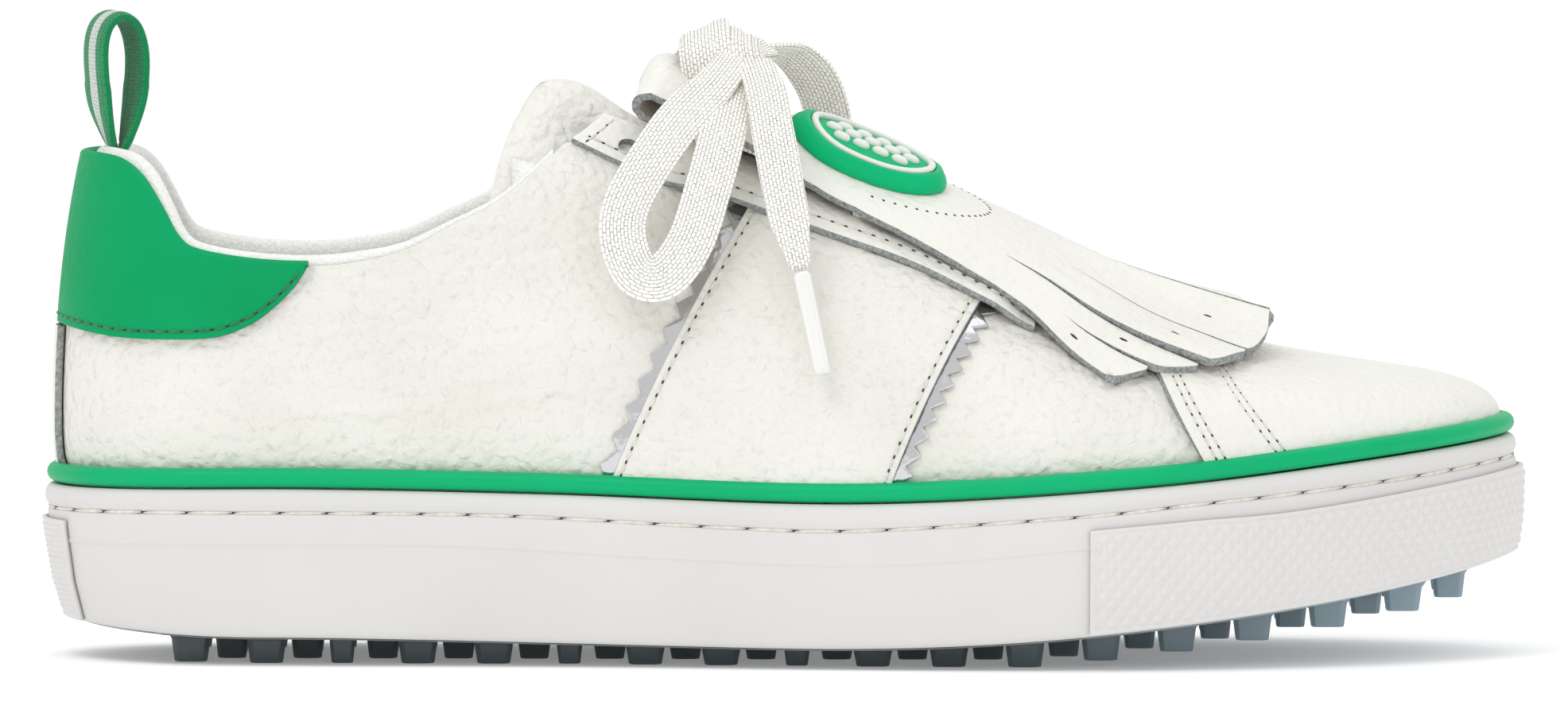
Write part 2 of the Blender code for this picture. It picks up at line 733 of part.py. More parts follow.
def make_fold():
    """The kiltie's fixed part: back under the knot, round the roll at its rear end, and forward again underneath."""
    at, along, up = kiltie_frame(0.0)
    sections = [(s, kiltie_frame(s)) for s in np.linspace(KILTIE_HINGE - HINGE_GAP, 4, 5)]
    centre = at - up * ROLL_RADIUS
    for k in range(1, 8):
        angle = math.pi * k / 8
        out = up * math.cos(angle) - along * math.sin(angle)
        sections.append((0.0, (centre + out * ROLL_RADIUS, along, out)))
    for s in np.linspace(2, UNDERLAP, 3):
        spot, forward, normal = kiltie_frame(s)
        sections.append((s, (spot - normal * (2 * ROLL_RADIUS + 0.2), forward, -normal)))
    bm = bmesh.new()
    grid = []
    for s, (spot, _, out) in sections:
        base, forward, normal = kiltie_frame(s)
        pair = []
        for layer in (0.0, -KILTIE_THICK):
            away = spot + out * layer - base
            shift = away @ forward * forward
            pair.append([])
            for share in np.linspace(-1, 1, 9):
                point = kiltie_point(s, share, away @ normal)
                pair[-1].append(bm.verts.new(place(point + (shift[0], 0, shift[1]))))
        grid.append(pair)
    for (outer, inner), (next_outer, next_inner) in zip(grid, grid[1:]):
        for j in range(8):
            bm.faces.new((outer[j], outer[j + 1], next_outer[j + 1], next_outer[j]))
            bm.faces.new((inner[j], next_inner[j], next_inner[j + 1], inner[j + 1]))
        for j in (0, 8):
            bm.faces.new((outer[j], next_outer[j], next_inner[j], inner[j]))
    for outer, inner in (grid[0], grid[-1]):
        for j in range(8):
            bm.faces.new((outer[j], inner[j], inner[j + 1], outer[j + 1]))
    bmesh.ops.recalc_face_normals(bm, faces=bm.faces)
    add_object("kiltie_fold", bm, "leather")


# Badge: an oval rubber patch on the flap, with a thin ring and a plain raised panel

BADGE_MIDDLE = 41.8
BADGE_ASIDE = -4.2  # the badge sits a little to the lateral side of the flap's centre line
BADGE_HALF = (16.2, 10.4)


def badge_ring_points(scale, out, count=28):
    """An oval round the badge's middle, bent to the flap's surface."""
    found = []
    for k in range(count):
        angle = 2 * math.pi * k / count
        s = BADGE_MIDDLE + BADGE_HALF[0] * scale * math.cos(angle)
        share = (BADGE_ASIDE + BADGE_HALF[1] * scale * math.sin(angle)) / kiltie_half(s)
        found.append(kiltie_point(s, share, out))
    return found


def badge_piece(name, profile_points, material, parent):
    made = loft(name, [badge_ring_points(scale, out) for scale, out in profile_points], material)
    keep_with(made, parent)


def keep_with(obj, parent):
    obj.parent = parent
    obj.location = [-value for value in parent.location]


def make_badge(flap):
    base = [(0.12, 0.35), (0.45, 0.35), (0.75, 0.35), (1.0, 0.35), (1.0, 1.4), (0.86, 3.2), (0.6, 3.2), (0.35, 3.2), (0.12, 3.2)]
    badge_piece("badge_base", base, "badge_green", flap)
    emblem = [(0.1, 3.55), (0.35, 3.55), (0.55, 3.55), (0.53, 4.1), (0.35, 4.1), (0.1, 4.1)]
    badge_piece("badge_emblem", emblem, "lace", flap)
    curve = bpy.data.curves.new("badge_ring", "CURVE")
    curve.dimensions = "3D"
    curve.bevel_depth = 0.00045
    curve.bevel_resolution = 0
    points = badge_ring_points(0.73, 4.0)
    spline = curve.splines.new("POLY")
    spline.points.add(len(points) - 1)
    for point, spot in zip(spline.points, points):
        point.co = (*place(spot), 1)
    spline.use_cyclic_u = True
    curve.materials.append(MATERIALS["lace"])
    made = bpy.data.objects.new("badge_ring", curve)
    SHOE.objects.link(made)
    keep_with(made, flap)


# Pull loop: a folded webbing strap that stands on the heel tab

LOOP_WIDTH = 12.0
LOOP_THICK = 1.6
LOOP_BASE = (13.4, 98.6)
LOOP_MIDDLE = 0.5
LOOP_TWIST = math.radians(20)  # about the upright axis, all of it gained in the first LOOP_STRAIGHT millimetres
LOOP_STRAIGHT = 12.0


def make_pull_loop():
    line = smooth_curve([(12.3, 98.8), (9.6, 106), (8.2, 116), (9.4, 122.2), (12.8, 124.6), (16.2, 122.4), (18.0, 116),
                         (17.4, 107.5), (14.6, 98.8)], samples=4)
    rows = []
    for x, z in line:
        turn = LOOP_TWIST * min((z - LOOP_BASE[1]) / LOOP_STRAIGHT, 1.0)
        away = x - LOOP_BASE[0]
        rows.append([(LOOP_BASE[0] + away * math.cos(turn) - y * math.sin(turn),
                      LOOP_MIDDLE + away * math.sin(turn) + y * math.cos(turn), z)
                     for y in (LOOP_WIDTH / 2, 0, -LOOP_WIDTH / 2)])
    loop = sheet("pull_loop", rows, LOOP_THICK, "green", inside=112.0)
    set_origin(loop, (LOOP_BASE[0], MIDDLE[1], LOOP_BASE[1]))


# Laces: bars through the eyelets under the kiltie, the knot over it, and the two bows and tails that lie free

LACE_WIDTH = 9.0
BARS = EYELETS[1:]
BAR_OUT = 1.8
BAR_FLAT = 3.0  # the reach at which a bar starts to climb from the tongue to the eyestay


def make_bar(number, x):
    """One lace bar across the tongue, from eyelet to eyelet, lying just over the eyestays."""
    rows = []
    for along in (-LACE_WIDTH / 2.6, LACE_WIDTH / 2.6):
        row = []
        for share in np.linspace(-1, 1, 9):
            side = "lateral" if share < 0 else "medial"
            away = max(abs(share) * EYELET_REACH, CLOSEST)
            climb = np.clip((away - BAR_FLAT) / (EYESTAY_REACH - 1 - BAR_FLAT), 0, 1)
            out = BAR_OUT + (eyestay_out(x + along) + 0.1) * climb
            row.append(surface(side, x + along, height_at(side, x + along, away), out))
        rows.append(row)
    sheet(f"lace_bar_{number}", rows, 1.2, "lace")


KNOT_MIDDLE = np.array([131.5, 0.5, 117.3])
KNOT_HALF = np.array([8.5, 9.5, 4.4])


def make_knot():
    bm = bmesh.new()
    bmesh.ops.create_uvsphere(bm, u_segments=12, v_segments=8, radius=1.0)
    for vertex in bm.verts:
        vertex.co = mathutils.Vector(place(KNOT_MIDDLE + KNOT_HALF * np.array(vertex.co)))
    add_object("lace_knot", bm, "lace")


def make_cord(name, route, radius, material="lace"):
    """A plain tube along a smooth curve through the route's points."""
    points = smooth_curve(route, samples=8)
    steps = np.concatenate([[0], np.cumsum(np.linalg.norm(np.diff(points, axis=0), axis=1))])
    count = max(int(steps[-1] / (5 * radius)), 3)
    spots = [[np.interp(s, steps, points[:, k]) for k in range(3)] for s in np.linspace(0, steps[-1], count)]
    curve = bpy.data.curves.new(name, "CURVE")
    curve.dimensions = "3D"
    curve.bevel_depth = radius / 1000
    curve.bevel_resolution = 2
    curve.use_fill_caps = True
    spline = curve.splines.new("POLY")
    spline.points.add(len(spots) - 1)
    for point, spot in zip(spline.points, spots):
        point.co = (*place(spot), 1)
    curve.materials.append(MATERIALS[material])
    SHOE.objects.link(bpy.data.objects.new(name, curve))


CORD_RADIUS = 1.6
NEAR_BOW = [(133, -12, 116.5), (129, -20.5, 111.8), (120, -30.5, 102.5), (111.5, -38.5, 88), (113, -41, 77.5),
            (118.5, -42, 75.5), (124, -40, 82), (128, -34, 94), (131, -26, 105), (133, -14.5, 113)]
FAR_BOW = [(137.5, 11.5, 116.8), (144, 21, 115), (149.5, 29, 107), (151.5, 36.5, 93), (149.5, 40, 80), (145, 41.5, 75.5),
           (140, 40, 82), (136.5, 33, 95), (133, 23, 107), (130, 14, 115)]
NEAR_TAIL = [(136.5, -12.0, 116), (138.5, -22.5, 110.5), (140.3, -30.5, 101), (142.5, -37, 89.5), (145.3, -41, 77)]
FAR_TAIL = [(126, 13.5, 117.5), (122, 24, 110.5), (119, 31.5, 101), (116.5, 36.5, 89.5), (115, 39, 77)]
NEAR_TIP = [(145.5, -41.3, 76.3), (149.6, -46.5, 57.3)]
FAR_TIP = [(114.8, 39.3, 76.3), (113.2, 42.5, 57.3)]

flap_object = make_flap()
make_fold()
make_badge(flap_object)
make_pull_loop()
for number, x in enumerate(BARS, 1):
    make_bar(number, x)
make_knot()
make_cord("bow_near", NEAR_BOW, CORD_RADIUS)
make_cord("bow_far", FAR_BOW, CORD_RADIUS)
make_cord("tail_near", NEAR_TAIL, CORD_RADIUS)
make_cord("tail_far", FAR_TAIL, CORD_RADIUS)
make_cord("aglet_near", NEAR_TIP, CORD_RADIUS, "aglet")
make_cord("aglet_far", FAR_TIP, CORD_RADIUS, "aglet")
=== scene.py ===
"""Looks for the right-foot golf shoe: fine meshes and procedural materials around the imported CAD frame.

Shapes are worked out in millimetres from the back of the heel, as in the part's source, and to_world() turns
them into metres in the row frame.
"""

import math

import bpy
import numpy as np
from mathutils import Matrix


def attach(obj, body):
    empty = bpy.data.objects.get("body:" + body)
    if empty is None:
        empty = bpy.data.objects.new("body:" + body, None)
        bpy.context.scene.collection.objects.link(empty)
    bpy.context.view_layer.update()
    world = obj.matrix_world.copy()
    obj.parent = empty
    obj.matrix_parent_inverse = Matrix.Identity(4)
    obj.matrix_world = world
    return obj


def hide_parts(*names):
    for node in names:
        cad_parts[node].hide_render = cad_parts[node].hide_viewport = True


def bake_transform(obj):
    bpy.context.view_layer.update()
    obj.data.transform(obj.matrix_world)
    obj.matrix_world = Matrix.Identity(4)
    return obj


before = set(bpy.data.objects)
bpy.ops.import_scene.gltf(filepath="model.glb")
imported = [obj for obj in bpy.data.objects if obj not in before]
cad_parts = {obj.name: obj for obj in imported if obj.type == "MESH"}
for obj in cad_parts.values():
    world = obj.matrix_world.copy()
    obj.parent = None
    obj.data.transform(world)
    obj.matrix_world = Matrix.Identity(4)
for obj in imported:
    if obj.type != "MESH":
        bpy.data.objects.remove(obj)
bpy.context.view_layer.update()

MIDDLE = np.array([142.0, 0.7, 0.0])
SHOE, KILTIE, LOOP = "shoe", "kiltie", "loop"
rng = np.random.default_rng(7)


def to_world(points):
    return (np.asarray(points, float) - MIDDLE) / 1000


# Camera, floor and light

IMAGE = (1972, 902)
MM_PER_PIXEL = 0.15265
CAMERA_AIM = (0.0001, -0.0407, 0.0598)
CAMERA_AWAY = 5.5
CAMERA_RISE = math.radians(3.5)


def make_camera():
    data = bpy.data.cameras.new("camera")
    data.sensor_width = 36.0
    data.lens = 36.0 * CAMERA_AWAY / (IMAGE[0] * MM_PER_PIXEL / 1000)
    camera = bpy.data.objects.new("camera", data)
    camera.location = (CAMERA_AIM[0], CAMERA_AIM[1] - CAMERA_AWAY * math.cos(CAMERA_RISE),
                       CAMERA_AIM[2] + CAMERA_AWAY * math.sin(CAMERA_RISE))
    camera.rotation_euler = (math.pi / 2 - CAMERA_RISE, 0, 0)
    bpy.context.scene.collection.objects.link(camera)
    bpy.context.scene.camera = camera


LIGHT_AIM = np.array([0, 0, 0.05])
LIGHTS = (("key", (-0.35, -0.55, 0.95), 0.5, 2.3), ("front", (0.5, -1.3, 0.5), 0.9, 0.8),
          ("top", (0.1, 0.25, 1.1), 0.8, 1.2))
SKY_STRENGTH, FLOOR_GLOW, FLOOR_HALF = 0.9, 0.2, 90


def make_light(name, place, size, watts):
    data = bpy.data.lights.new(name, "AREA")
    data.shape = "DISK"
    data.size = size
    data.energy = watts
    lamp = bpy.data.objects.new(name, data)
    lamp.location = place
    away = np.array(place) - LIGHT_AIM
    flat = math.hypot(away[0], away[1])
    lamp.rotation_euler = (math.atan2(flat, away[2]), 0, math.atan2(away[1], away[0]) + math.pi / 2)
    bpy.context.scene.collection.objects.link(lamp)


def make_studio():
    world = bpy.data.worlds.new("studio")
    world.use_nodes = True
    sky = world.node_tree.nodes["Background"]
    sky.inputs["Color"].default_value = (1, 1, 1, 1)
    sky.inputs["Strength"].default_value = SKY_STRENGTH
    bpy.context.scene.world = world
    for light in LIGHTS:
        make_light(*light)
    corners = [(x * FLOOR_HALF, y * FLOOR_HALF, 0) for x, y in ((-1, -1), (1, -1), (1, 1), (-1, 1))]
    mesh = bpy.data.meshes.new("floor")
    mesh.from_pydata(corners, [], [(0, 1, 2, 3)])
    floor = bpy.data.objects.new("floor", mesh)
    bpy.context.scene.collection.objects.link(floor)
    paint = bpy.data.materials.new("floor_paint")
    paint.use_nodes = True
    for key, value in (("Base Color", (0.9, 0.9, 0.9, 1)), ("Roughness", 0.9), ("Specular IOR Level", 0.1),
                       ("Emission Color", (1, 1, 1, 1)), ("Emission Strength", FLOOR_GLOW)):
        paint.node_tree.nodes["Principled BSDF"].inputs[key].default_value = value
    mesh.materials.append(paint)
    bpy.context.scene.view_settings.view_transform = "Standard"


make_camera()
make_studio()


# Materials

class Shader:
    """A small helper for building one node material."""

    def __init__(self, name, colour, rough, **extra):
        self.material = bpy.data.materials.new(name)
        self.material.use_nodes = True
        self.tree = self.material.node_tree
        self.bsdf = self.tree.nodes["Principled BSDF"]
        self.bsdf.inputs["Base Color"].default_value = (*colour, 1)
        self.bsdf.inputs["Roughness"].default_value = rough
        for key, value in extra.items():
            self.bsdf.inputs[key.replace("_", " ")].default_value = value
        self.where = self.add("ShaderNodeTexCoord").outputs["Object"]
        self.height = None

    def add(self, kind, links=(), **values):
        node = self.tree.nodes.new(kind)
        for key, value in values.items():
            setattr(node, key, value)
        for socket, value in links:
            if isinstance(value, bpy.types.NodeSocket):
                self.tree.links.new(value, node.inputs[socket])
            else:
                node.inputs[socket].default_value = value
        return node

    def noise(self, scale, detail=3.0, rough=0.5):
        return self.add("ShaderNodeTexNoise", [("Vector", self.where), ("Scale", scale), ("Detail", detail),
                                               ("Roughness", rough)]).outputs["Fac"]

    def voronoi(self, scale, feature="F1", where=None):
        links = [("Vector", where or self.where), ("Scale", scale)]
        return self.add("ShaderNodeTexVoronoi", links, feature=feature).outputs["Distance"]

    def math(self, kind, a, b=0.0):
        return self.add("ShaderNodeMath", [(0, a), (1, b)], operation=kind).outputs[0]

    def spread(self, value, low, high, to_low=0.0, to_high=1.0):
        return self.add("ShaderNodeMapRange", [("Value", value), ("From Min", low), ("From Max", high),
                                               ("To Min", to_low), ("To Max", to_high)]).outputs[0]

    def mix(self, factor, a, b):
        node = self.add("ShaderNodeMix", [("Factor", factor)], data_type="RGBA")
        node.inputs[6].default_value = (*a, 1)
        node.inputs[7].default_value = (*b, 1)
        return node.outputs[2]

    def colour(self, socket):
        self.tree.links.new(socket, self.bsdf.inputs["Base Color"])

    def rough(self, socket):
        self.tree.links.new(socket, self.bsdf.inputs["Roughness"])

    def bump(self, height, distance):
        links = [("Height", height), ("Distance", distance), ("Strength", 1.0)]
        if self.height:
            links.append(("Normal", self.height))
        self.height = self.add("ShaderNodeBump", links).outputs[0]
        self.tree.links.new(self.height, self.bsdf.inputs["Normal"])


def leather(name, colour, darker, pebble=520.0, depth=0.00064, rough=0.46, shine=0.45):
    made = Shader(name, colour, rough, Specular_IOR_Level=shine)
    warp = made.add("ShaderNodeVectorMath", [(0, made.where)], operation="ADD")
    shake = made.add("ShaderNodeTexNoise", [("Vector", made.where), ("Scale", 220.0), ("Detail", 2.0)])
    scaled = made.add("ShaderNodeVectorMath", [(0, shake.outputs["Color"]), ("Scale", 0.0022)],
                      operation="SCALE")
    made.tree.links.new(scaled.outputs[0], warp.inputs[1])
    cells = made.voronoi(pebble, "SMOOTH_F1", warp.outputs[0])
    creases = made.spread(made.voronoi(pebble * 0.8, "DISTANCE_TO_EDGE", warp.outputs[0]), 0.0, 0.14)
    made.bump(made.math("MULTIPLY", cells, -1.0), depth)
    made.bump(creases, depth * 0.08)
    made.bump(made.noise(700.0, 3.0), depth * 0.35)
    mottle = made.spread(made.noise(38.0, 4.0), 0.35, 0.65)
    made.colour(made.mix(mottle, darker, colour))
    made.rough(made.spread(cells, 0.0, 0.9, rough - 0.06, rough + 0.12))
    return made.material


def raw_edge(name, colour, darker):
    made = Shader(name, colour, 0.85, Specular_IOR_Level=0.25)
    grain = made.noise(1500.0, 4.0, 0.65)
    made.colour(made.mix(made.spread(grain, 0.36, 0.62), darker, colour))
    made.bump(made.noise(2200.0, 3.0, 0.6), 0.00025)
    made.bump(made.voronoi(900.0), 0.0002)
    return made.material


def rubber(name, colour, darker, rough=0.5, depth=0.00003, **extra):
    made = Shader(name, colour, rough, **extra)
    made.colour(made.mix(made.spread(made.noise(24.0, 3.0), 0.3, 0.7), darker, colour))
    made.bump(made.noise(1700.0, 3.0, 0.6), depth)
    made.rough(made.spread(made.noise(90.0, 3.0), 0.3, 0.7, rough - 0.05, rough + 0.07))
    return made.material


def woven(name, colour, darker, across, along, depth, rough=0.85, gap=0.55):
    """Cloth with small oblong stitches, laid out on the piece's own length and width by its UV map."""
    made = Shader(name, colour, rough, Sheen_Weight=0.25, Sheen_Roughness=0.5, Specular_IOR_Level=0.2)
    uv = made.add("ShaderNodeUVMap", uv_map="flat").outputs[0]
    links = [("Vector", uv), ("Scale", 1.0), ("Brick Width", along), ("Row Height", across),
             ("Mortar Size", min(across, along) * 0.16), ("Mortar Smooth", 1.0), ("Mortar", (0, 0, 0, 1)),
             ("Color1", (1, 1, 1, 1)), ("Color2", (0.86, 0.86, 0.86, 1))]
    brick = made.add("ShaderNodeTexBrick", links, offset=0.5, squash=1.0)
    made.bump(brick.outputs["Color"], depth)
    made.bump(made.noise(2400.0, 2.0), depth * 0.6)
    # The darker mortar lines between the stitches are painted shade in the grooves; the noise and the paler
    # second stitch colour are random tone.
    shade = made.math("MULTIPLY", made.spread(made.noise(70.0, 3.0), 0.3, 0.7, 0.75, 1.0),
                      made.spread(brick.outputs["Color"], 0.0, 1.0, gap, 1.0))
    made.colour(made.mix(shade, darker, colour))
    return made.material


def knit(name, colour, darker, scale=1150.0):
    made = Shader(name, colour, 0.9, Sheen_Weight=0.35, Sheen_Roughness=0.5, Specular_IOR_Level=0.15)
    holes = made.voronoi(scale)
    made.bump(made.math("MULTIPLY", holes, -1.0), 0.00012)
    made.bump(made.noise(scale * 2, 2.0), 0.00005)
    # The colour darkens where holes is large, in the low ground of the bump between the raised knit cells:
    # painted shade in the hollows.
    made.colour(made.mix(made.spread(holes, 0.15, 0.75), colour, darker))
    return made.material


def thread(name, colour, darker):
    made = Shader(name, colour, 0.7, Sheen_Weight=0.2)
    made.bump(made.noise(4200.0, 2.0), 0.00006)
    made.colour(made.mix(made.spread(made.noise(800.0), 0.3, 0.7), darker, colour))
    return made.material


def suede(name, colour, darker):
    made = Shader(name, colour, 0.95, Sheen_Weight=0.4, Sheen_Roughness=0.6, Specular_IOR_Level=0.1)
    made.bump(made.noise(1900.0, 5.0, 0.7), 0.0003)
    made.colour(made.mix(made.spread(made.noise(330.0, 5.0, 0.65), 0.3, 0.7), darker, colour))
    return made.material


def tread_plastic():
    made = Shader("tread_plastic", (0.09, 0.13, 0.15), 0.32, Coat_Weight=0.15, Transmission_Weight=0.22)
    axis = made.add("ShaderNodeSeparateXYZ", [("Vector", made.where)]).outputs[0]
    # Dark slate from the heel through the middle is painted shade under the shoe; the lighter blue-grey towards
    # the toe is the plate's own translucent tone.
    toward_toe = made.spread(axis, 0.035, 0.125)
    made.colour(made.mix(made.math("ADD", toward_toe, made.math("MULTIPLY", made.noise(60.0), 0.1)),
                         (0.045, 0.062, 0.068), (0.30, 0.40, 0.46)))
    made.bump(made.noise(900.0, 2.0), 0.00002)
    return made.material


def mirror_film():
    made = Shader("mirror_film", (0.60, 0.60, 0.62), 0.13, Metallic=1.0)
    made.bump(made.noise(160.0, 3.0), 0.0005)
    made.rough(made.spread(made.noise(500.0, 3.0), 0.3, 0.7, 0.08, 0.22))
    return made.material


WHITE_LEATHER = leather("white_pebbled_leather", (0.80, 0.79, 0.735), (0.755, 0.742, 0.685))
SMOOTH_LEATHER = leather("white_soft_leather", (0.82, 0.815, 0.765), (0.785, 0.775, 0.72), 560.0, 0.00034,
                         0.44)
GREEN_LEATHER = leather("green_leather", (0.0, 0.335, 0.115), (0.0, 0.305, 0.102), 700.0, 0.00008, 0.5, 0.12)
GREY_EDGE = raw_edge("grey_raw_edge", (0.42, 0.445, 0.435), (0.20, 0.22, 0.215))
DARK_EDGE = raw_edge("dark_raw_edge", (0.085, 0.12, 0.105), (0.02, 0.03, 0.026))
SUEDE = suede("pinkish_suede", (0.50, 0.41, 0.36), (0.32, 0.25, 0.215))
FLESH = suede("pale_flesh_side", (0.62, 0.59, 0.54), (0.48, 0.45, 0.40))
SOLE_RUBBER = rubber("white_sole_rubber", (0.70, 0.69, 0.675), (0.665, 0.655, 0.64), 0.55)
BUMPER_RUBBER = rubber("white_bumper_rubber", (0.71, 0.70, 0.69), (0.68, 0.67, 0.655), 0.5)
GREEN_RUBBER = rubber("green_piping_rubber", (0.0, 0.44, 0.17), (0.0, 0.40, 0.15), 0.4, 0.00002,
                      Specular_IOR_Level=0.16)
BADGE_RUBBER = rubber("green_badge_rubber", (0.0, 0.46, 0.175), (0.0, 0.42, 0.155), 0.45, 0.00002,
                      Specular_IOR_Level=0.14)
BADGE_WHITE = rubber("white_badge_rubber", (0.80, 0.80, 0.77), (0.74, 0.74, 0.71), 0.5, 0.00004)
LACE_WEAVE = woven("lace_weave", (1.0, 0.985, 0.915), (0.84, 0.82, 0.74), 0.0007, 0.0012, 0.00024, gap=0.8)
WEBBING = woven("green_webbing", (0.0, 0.30, 0.10), (0.0, 0.14, 0.045), 0.0007, 0.0014, 0.0002, 0.75)
WEB_STRIPE = woven("white_webbing_stripe", (0.72, 0.76, 0.72), (0.40, 0.48, 0.42), 0.0007, 0.0014, 0.0002,
                   0.75)
MESH_LINING = knit("white_mesh_lining", (0.93, 0.93, 0.90), (0.80, 0.80, 0.77), 1500.0)
THREAD = thread("cream_thread", (0.80, 0.79, 0.72), (0.62, 0.61, 0.54))
GREEN_THREAD = thread("green_thread", (0.0, 0.26, 0.085), (0.0, 0.14, 0.045))
# Near-black colour for needle holes and punch marks: painted shade inside the holes.
NEEDLE_HOLE = thread("needle_hole", (0.035, 0.038, 0.035), (0.012, 0.012, 0.012))
CLEAR_SLEEVE = Shader("clear_sleeve", (0.90, 0.90, 0.87), 0.28, Transmission_Weight=0.15,
                      Coat_Weight=0.3).material
TREAD = tread_plastic()
MIRROR = mirror_film()


# Meshes

def make_piece(name, points, faces, materials, face_slots=None, body=SHOE, node=None, also=(), slot=None,
               uv=None):
    """An object from points in millimetres and their faces, riding on a body.

    It hides the CAD node that it stands for. also holds further nodes that it stands for, and it hides them
    too. slot is not used.
    """
    mesh = bpy.data.meshes.new(name)
    faces = faces.tolist() if isinstance(faces, np.ndarray) else faces
    mesh.from_pydata(to_world(points).tolist(), [], faces)
    for material in materials:
        mesh.materials.append(material)
    if face_slots is not None:
        mesh.polygons.foreach_set("material_index", np.asarray(face_slots, np.int32))
    mesh.polygons.foreach_set("use_smooth", np.ones(len(mesh.polygons), bool))
    if uv is not None:
        layer = mesh.uv_layers.new(name="flat")
        corner = np.empty(len(mesh.loops), np.int32)
        mesh.loops.foreach_get("vertex_index", corner)
        layer.data.foreach_set("uv", np.asarray(uv, np.float32)[corner].ravel())
    mesh.validate()
    mesh.update()
    obj = bpy.data.objects.new(name, mesh)
    bpy.context.scene.collection.objects.link(obj)
    if body:
        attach(obj, body)
    if node:
        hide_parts(node, *also)
    return obj


def add_bevel(obj, name, width, angle):
    bevel = obj.modifiers.new(name, "BEVEL")
    bevel.width = width / 1000
    bevel.segments = 2
    bevel.limit_method = "ANGLE"
    bevel.angle_limit = math.radians(angle)


def unit(vectors):
    return vectors / np.maximum(np.linalg.norm(vectors, axis=-1, keepdims=True), 1e-9)


def reach_along(points):
    """The length of the line through the points, up to each of them."""
    return np.concatenate([[0], np.cumsum(np.linalg.norm(np.diff(points, axis=0), axis=1))])


def eased_step(t):
    return t * t * (3 - 2 * t)


def grid_normals(grid, centre=None):
    """Unit normals of a grid of points, turned away from the centre if there is one."""
    normals = unit(np.cross(np.gradient(grid, axis=1), np.gradient(grid, axis=0)))
    if centre is not None:
        outward = np.einsum("ijk,ijk->", normals, grid - np.asarray(centre, float))
        if outward < 0:
            normals = -normals
    return normals


def grid_faces(rows, columns, wrap=False):
    i, j = np.meshgrid(np.arange(rows - 1), np.arange(columns if wrap else columns - 1), indexing="ij")
    k = (j + 1) % columns
    return np.stack([i * columns + j, i * columns + k, (i + 1) * columns + k, (i + 1) * columns + j], -1)


def end_faces(rings, sides):
    """The faces that close both ends of a tube made of rings."""
    return [list(range(sides))[::-1], [(rings - 1) * sides + k for k in range(sides)]]


def skin(name, grid, normals, thick, materials, hole=None, wrap=False, round_edge=0.3, weld=False, **where):
    """A closed skin that grows inwards from a grid; its materials are the outside, the cut edge and the inside.

    hole marks the grid's faces that are left out, and the rim runs round whatever is left. weld joins points
    of the grid that lie in one place.
    """
    rows, columns = grid.shape[:2]
    thick = np.broadcast_to(np.asarray(thick, float), (rows, columns))[..., None]
    faces = grid_faces(rows, columns, wrap)
    keep = np.ones(faces.shape[:2], bool) if hole is None else ~hole
    faces = faces[keep]
    sample = faces[len(faces) // 2]
    flat = grid.reshape(-1, 3)
    turn = np.cross(flat[sample[1]] - flat[sample[0]], flat[sample[2]] - flat[sample[0]])
    if turn @ normals.reshape(-1, 3)[sample[0]] < 0:
        faces = faces[:, ::-1]
    count = rows * columns
    if weld:
        _, first, again = np.unique(np.round(flat / 0.01).astype(np.int64), axis=0, return_index=True,
                                    return_inverse=True)
        faces = first[again.reshape(-1)][faces]
    ends = np.concatenate([faces[:, [k, (k + 1) % 4]] for k in range(4)])
    key = np.sort(ends, axis=1)
    _, index, times = np.unique(key[:, 0] * count + key[:, 1], return_inverse=True, return_counts=True)
    open_ends = ends[times[index] == 1]
    rim = np.stack([open_ends[:, 1], open_ends[:, 0], open_ends[:, 0] + count, open_ends[:, 1] + count], -1)
    everything = np.concatenate([faces, rim, faces[:, ::-1] + count])
    slots = np.concatenate([np.zeros(len(faces)), np.ones(len(rim)), np.full(len(faces), 2)])
    points = np.concatenate([flat, (grid - normals * thick).reshape(-1, 3)])
    used, index = np.unique(everything, return_inverse=True)
    everything = index.reshape(everything.shape)
    materials = list(materials) + [materials[-1]] * (3 - len(materials))
    obj = make_piece(name, points[used], everything, materials, slots, **where)
    if round_edge:
        add_bevel(obj, "soft_edge", round_edge, 55)
    return obj


def tube_mesh(path, radius, sides, closed=False):
    """Rings of points round a path, with the faces between them."""
    tangent = unit(np.roll(path, -1, 0) - np.roll(path, 1, 0) if closed else np.gradient(path, axis=0))
    helper = np.where(np.abs(tangent[:, 2:3]) > 0.9, np.array([[1.0, 0, 0]]), np.array([[0, 0, 1.0]]))
    first = unit(np.cross(tangent, helper))
    second = np.cross(tangent, first)
    angle = 2 * np.pi * np.arange(sides) / sides
    radius = np.broadcast_to(np.asarray(radius, float), len(path))[:, None, None]
    ring = first[:, None] * np.cos(angle)[None, :, None] + second[:, None] * np.sin(angle)[None, :, None]
    points = path[:, None] + ring * radius
    faces = grid_faces(len(path) + (1 if closed else 0), sides, wrap=True) % (len(path) * sides)
    return points.reshape(-1, 3), faces.reshape(-1, 4)


class Bundle:
    """Many small bodies gathered into one object."""

    def __init__(self):
        self.points, self.faces, self.slots, self.count = [], [], [], 0

    def take(self, points, faces, slot=0):
        self.points.append(np.asarray(points, float))
        self.faces += [[k + self.count for k in face] for face in faces]
        self.slots += [slot] * len(faces)
        self.count += len(points)

    def make(self, name, materials, **where):
        return make_piece(name, np.concatenate(self.points), self.faces, materials, self.slots, **where)


def seed_body(centre, along, across, up, half, sides=6, rings=5):
    """A small rounded body with the given half sizes along three directions: a stitch or a hole."""
    t = np.linspace(-1, 1, rings)
    angle = 2 * np.pi * np.arange(sides) / sides
    swell = np.sqrt(np.maximum(1 - np.abs(t) ** 2.6, 0.06))
    points = (centre + along * (t * half[0])[:, None, None]
              + swell[:, None, None] * (across * (np.cos(angle) * half[1])[None, :, None]
                                        + up * (np.sin(angle) * half[2])[None, :, None]))
    faces = grid_faces(rings, sides, wrap=True).reshape(-1, 4).tolist() + end_faces(rings, sides)
    return points.reshape(-1, 3), faces


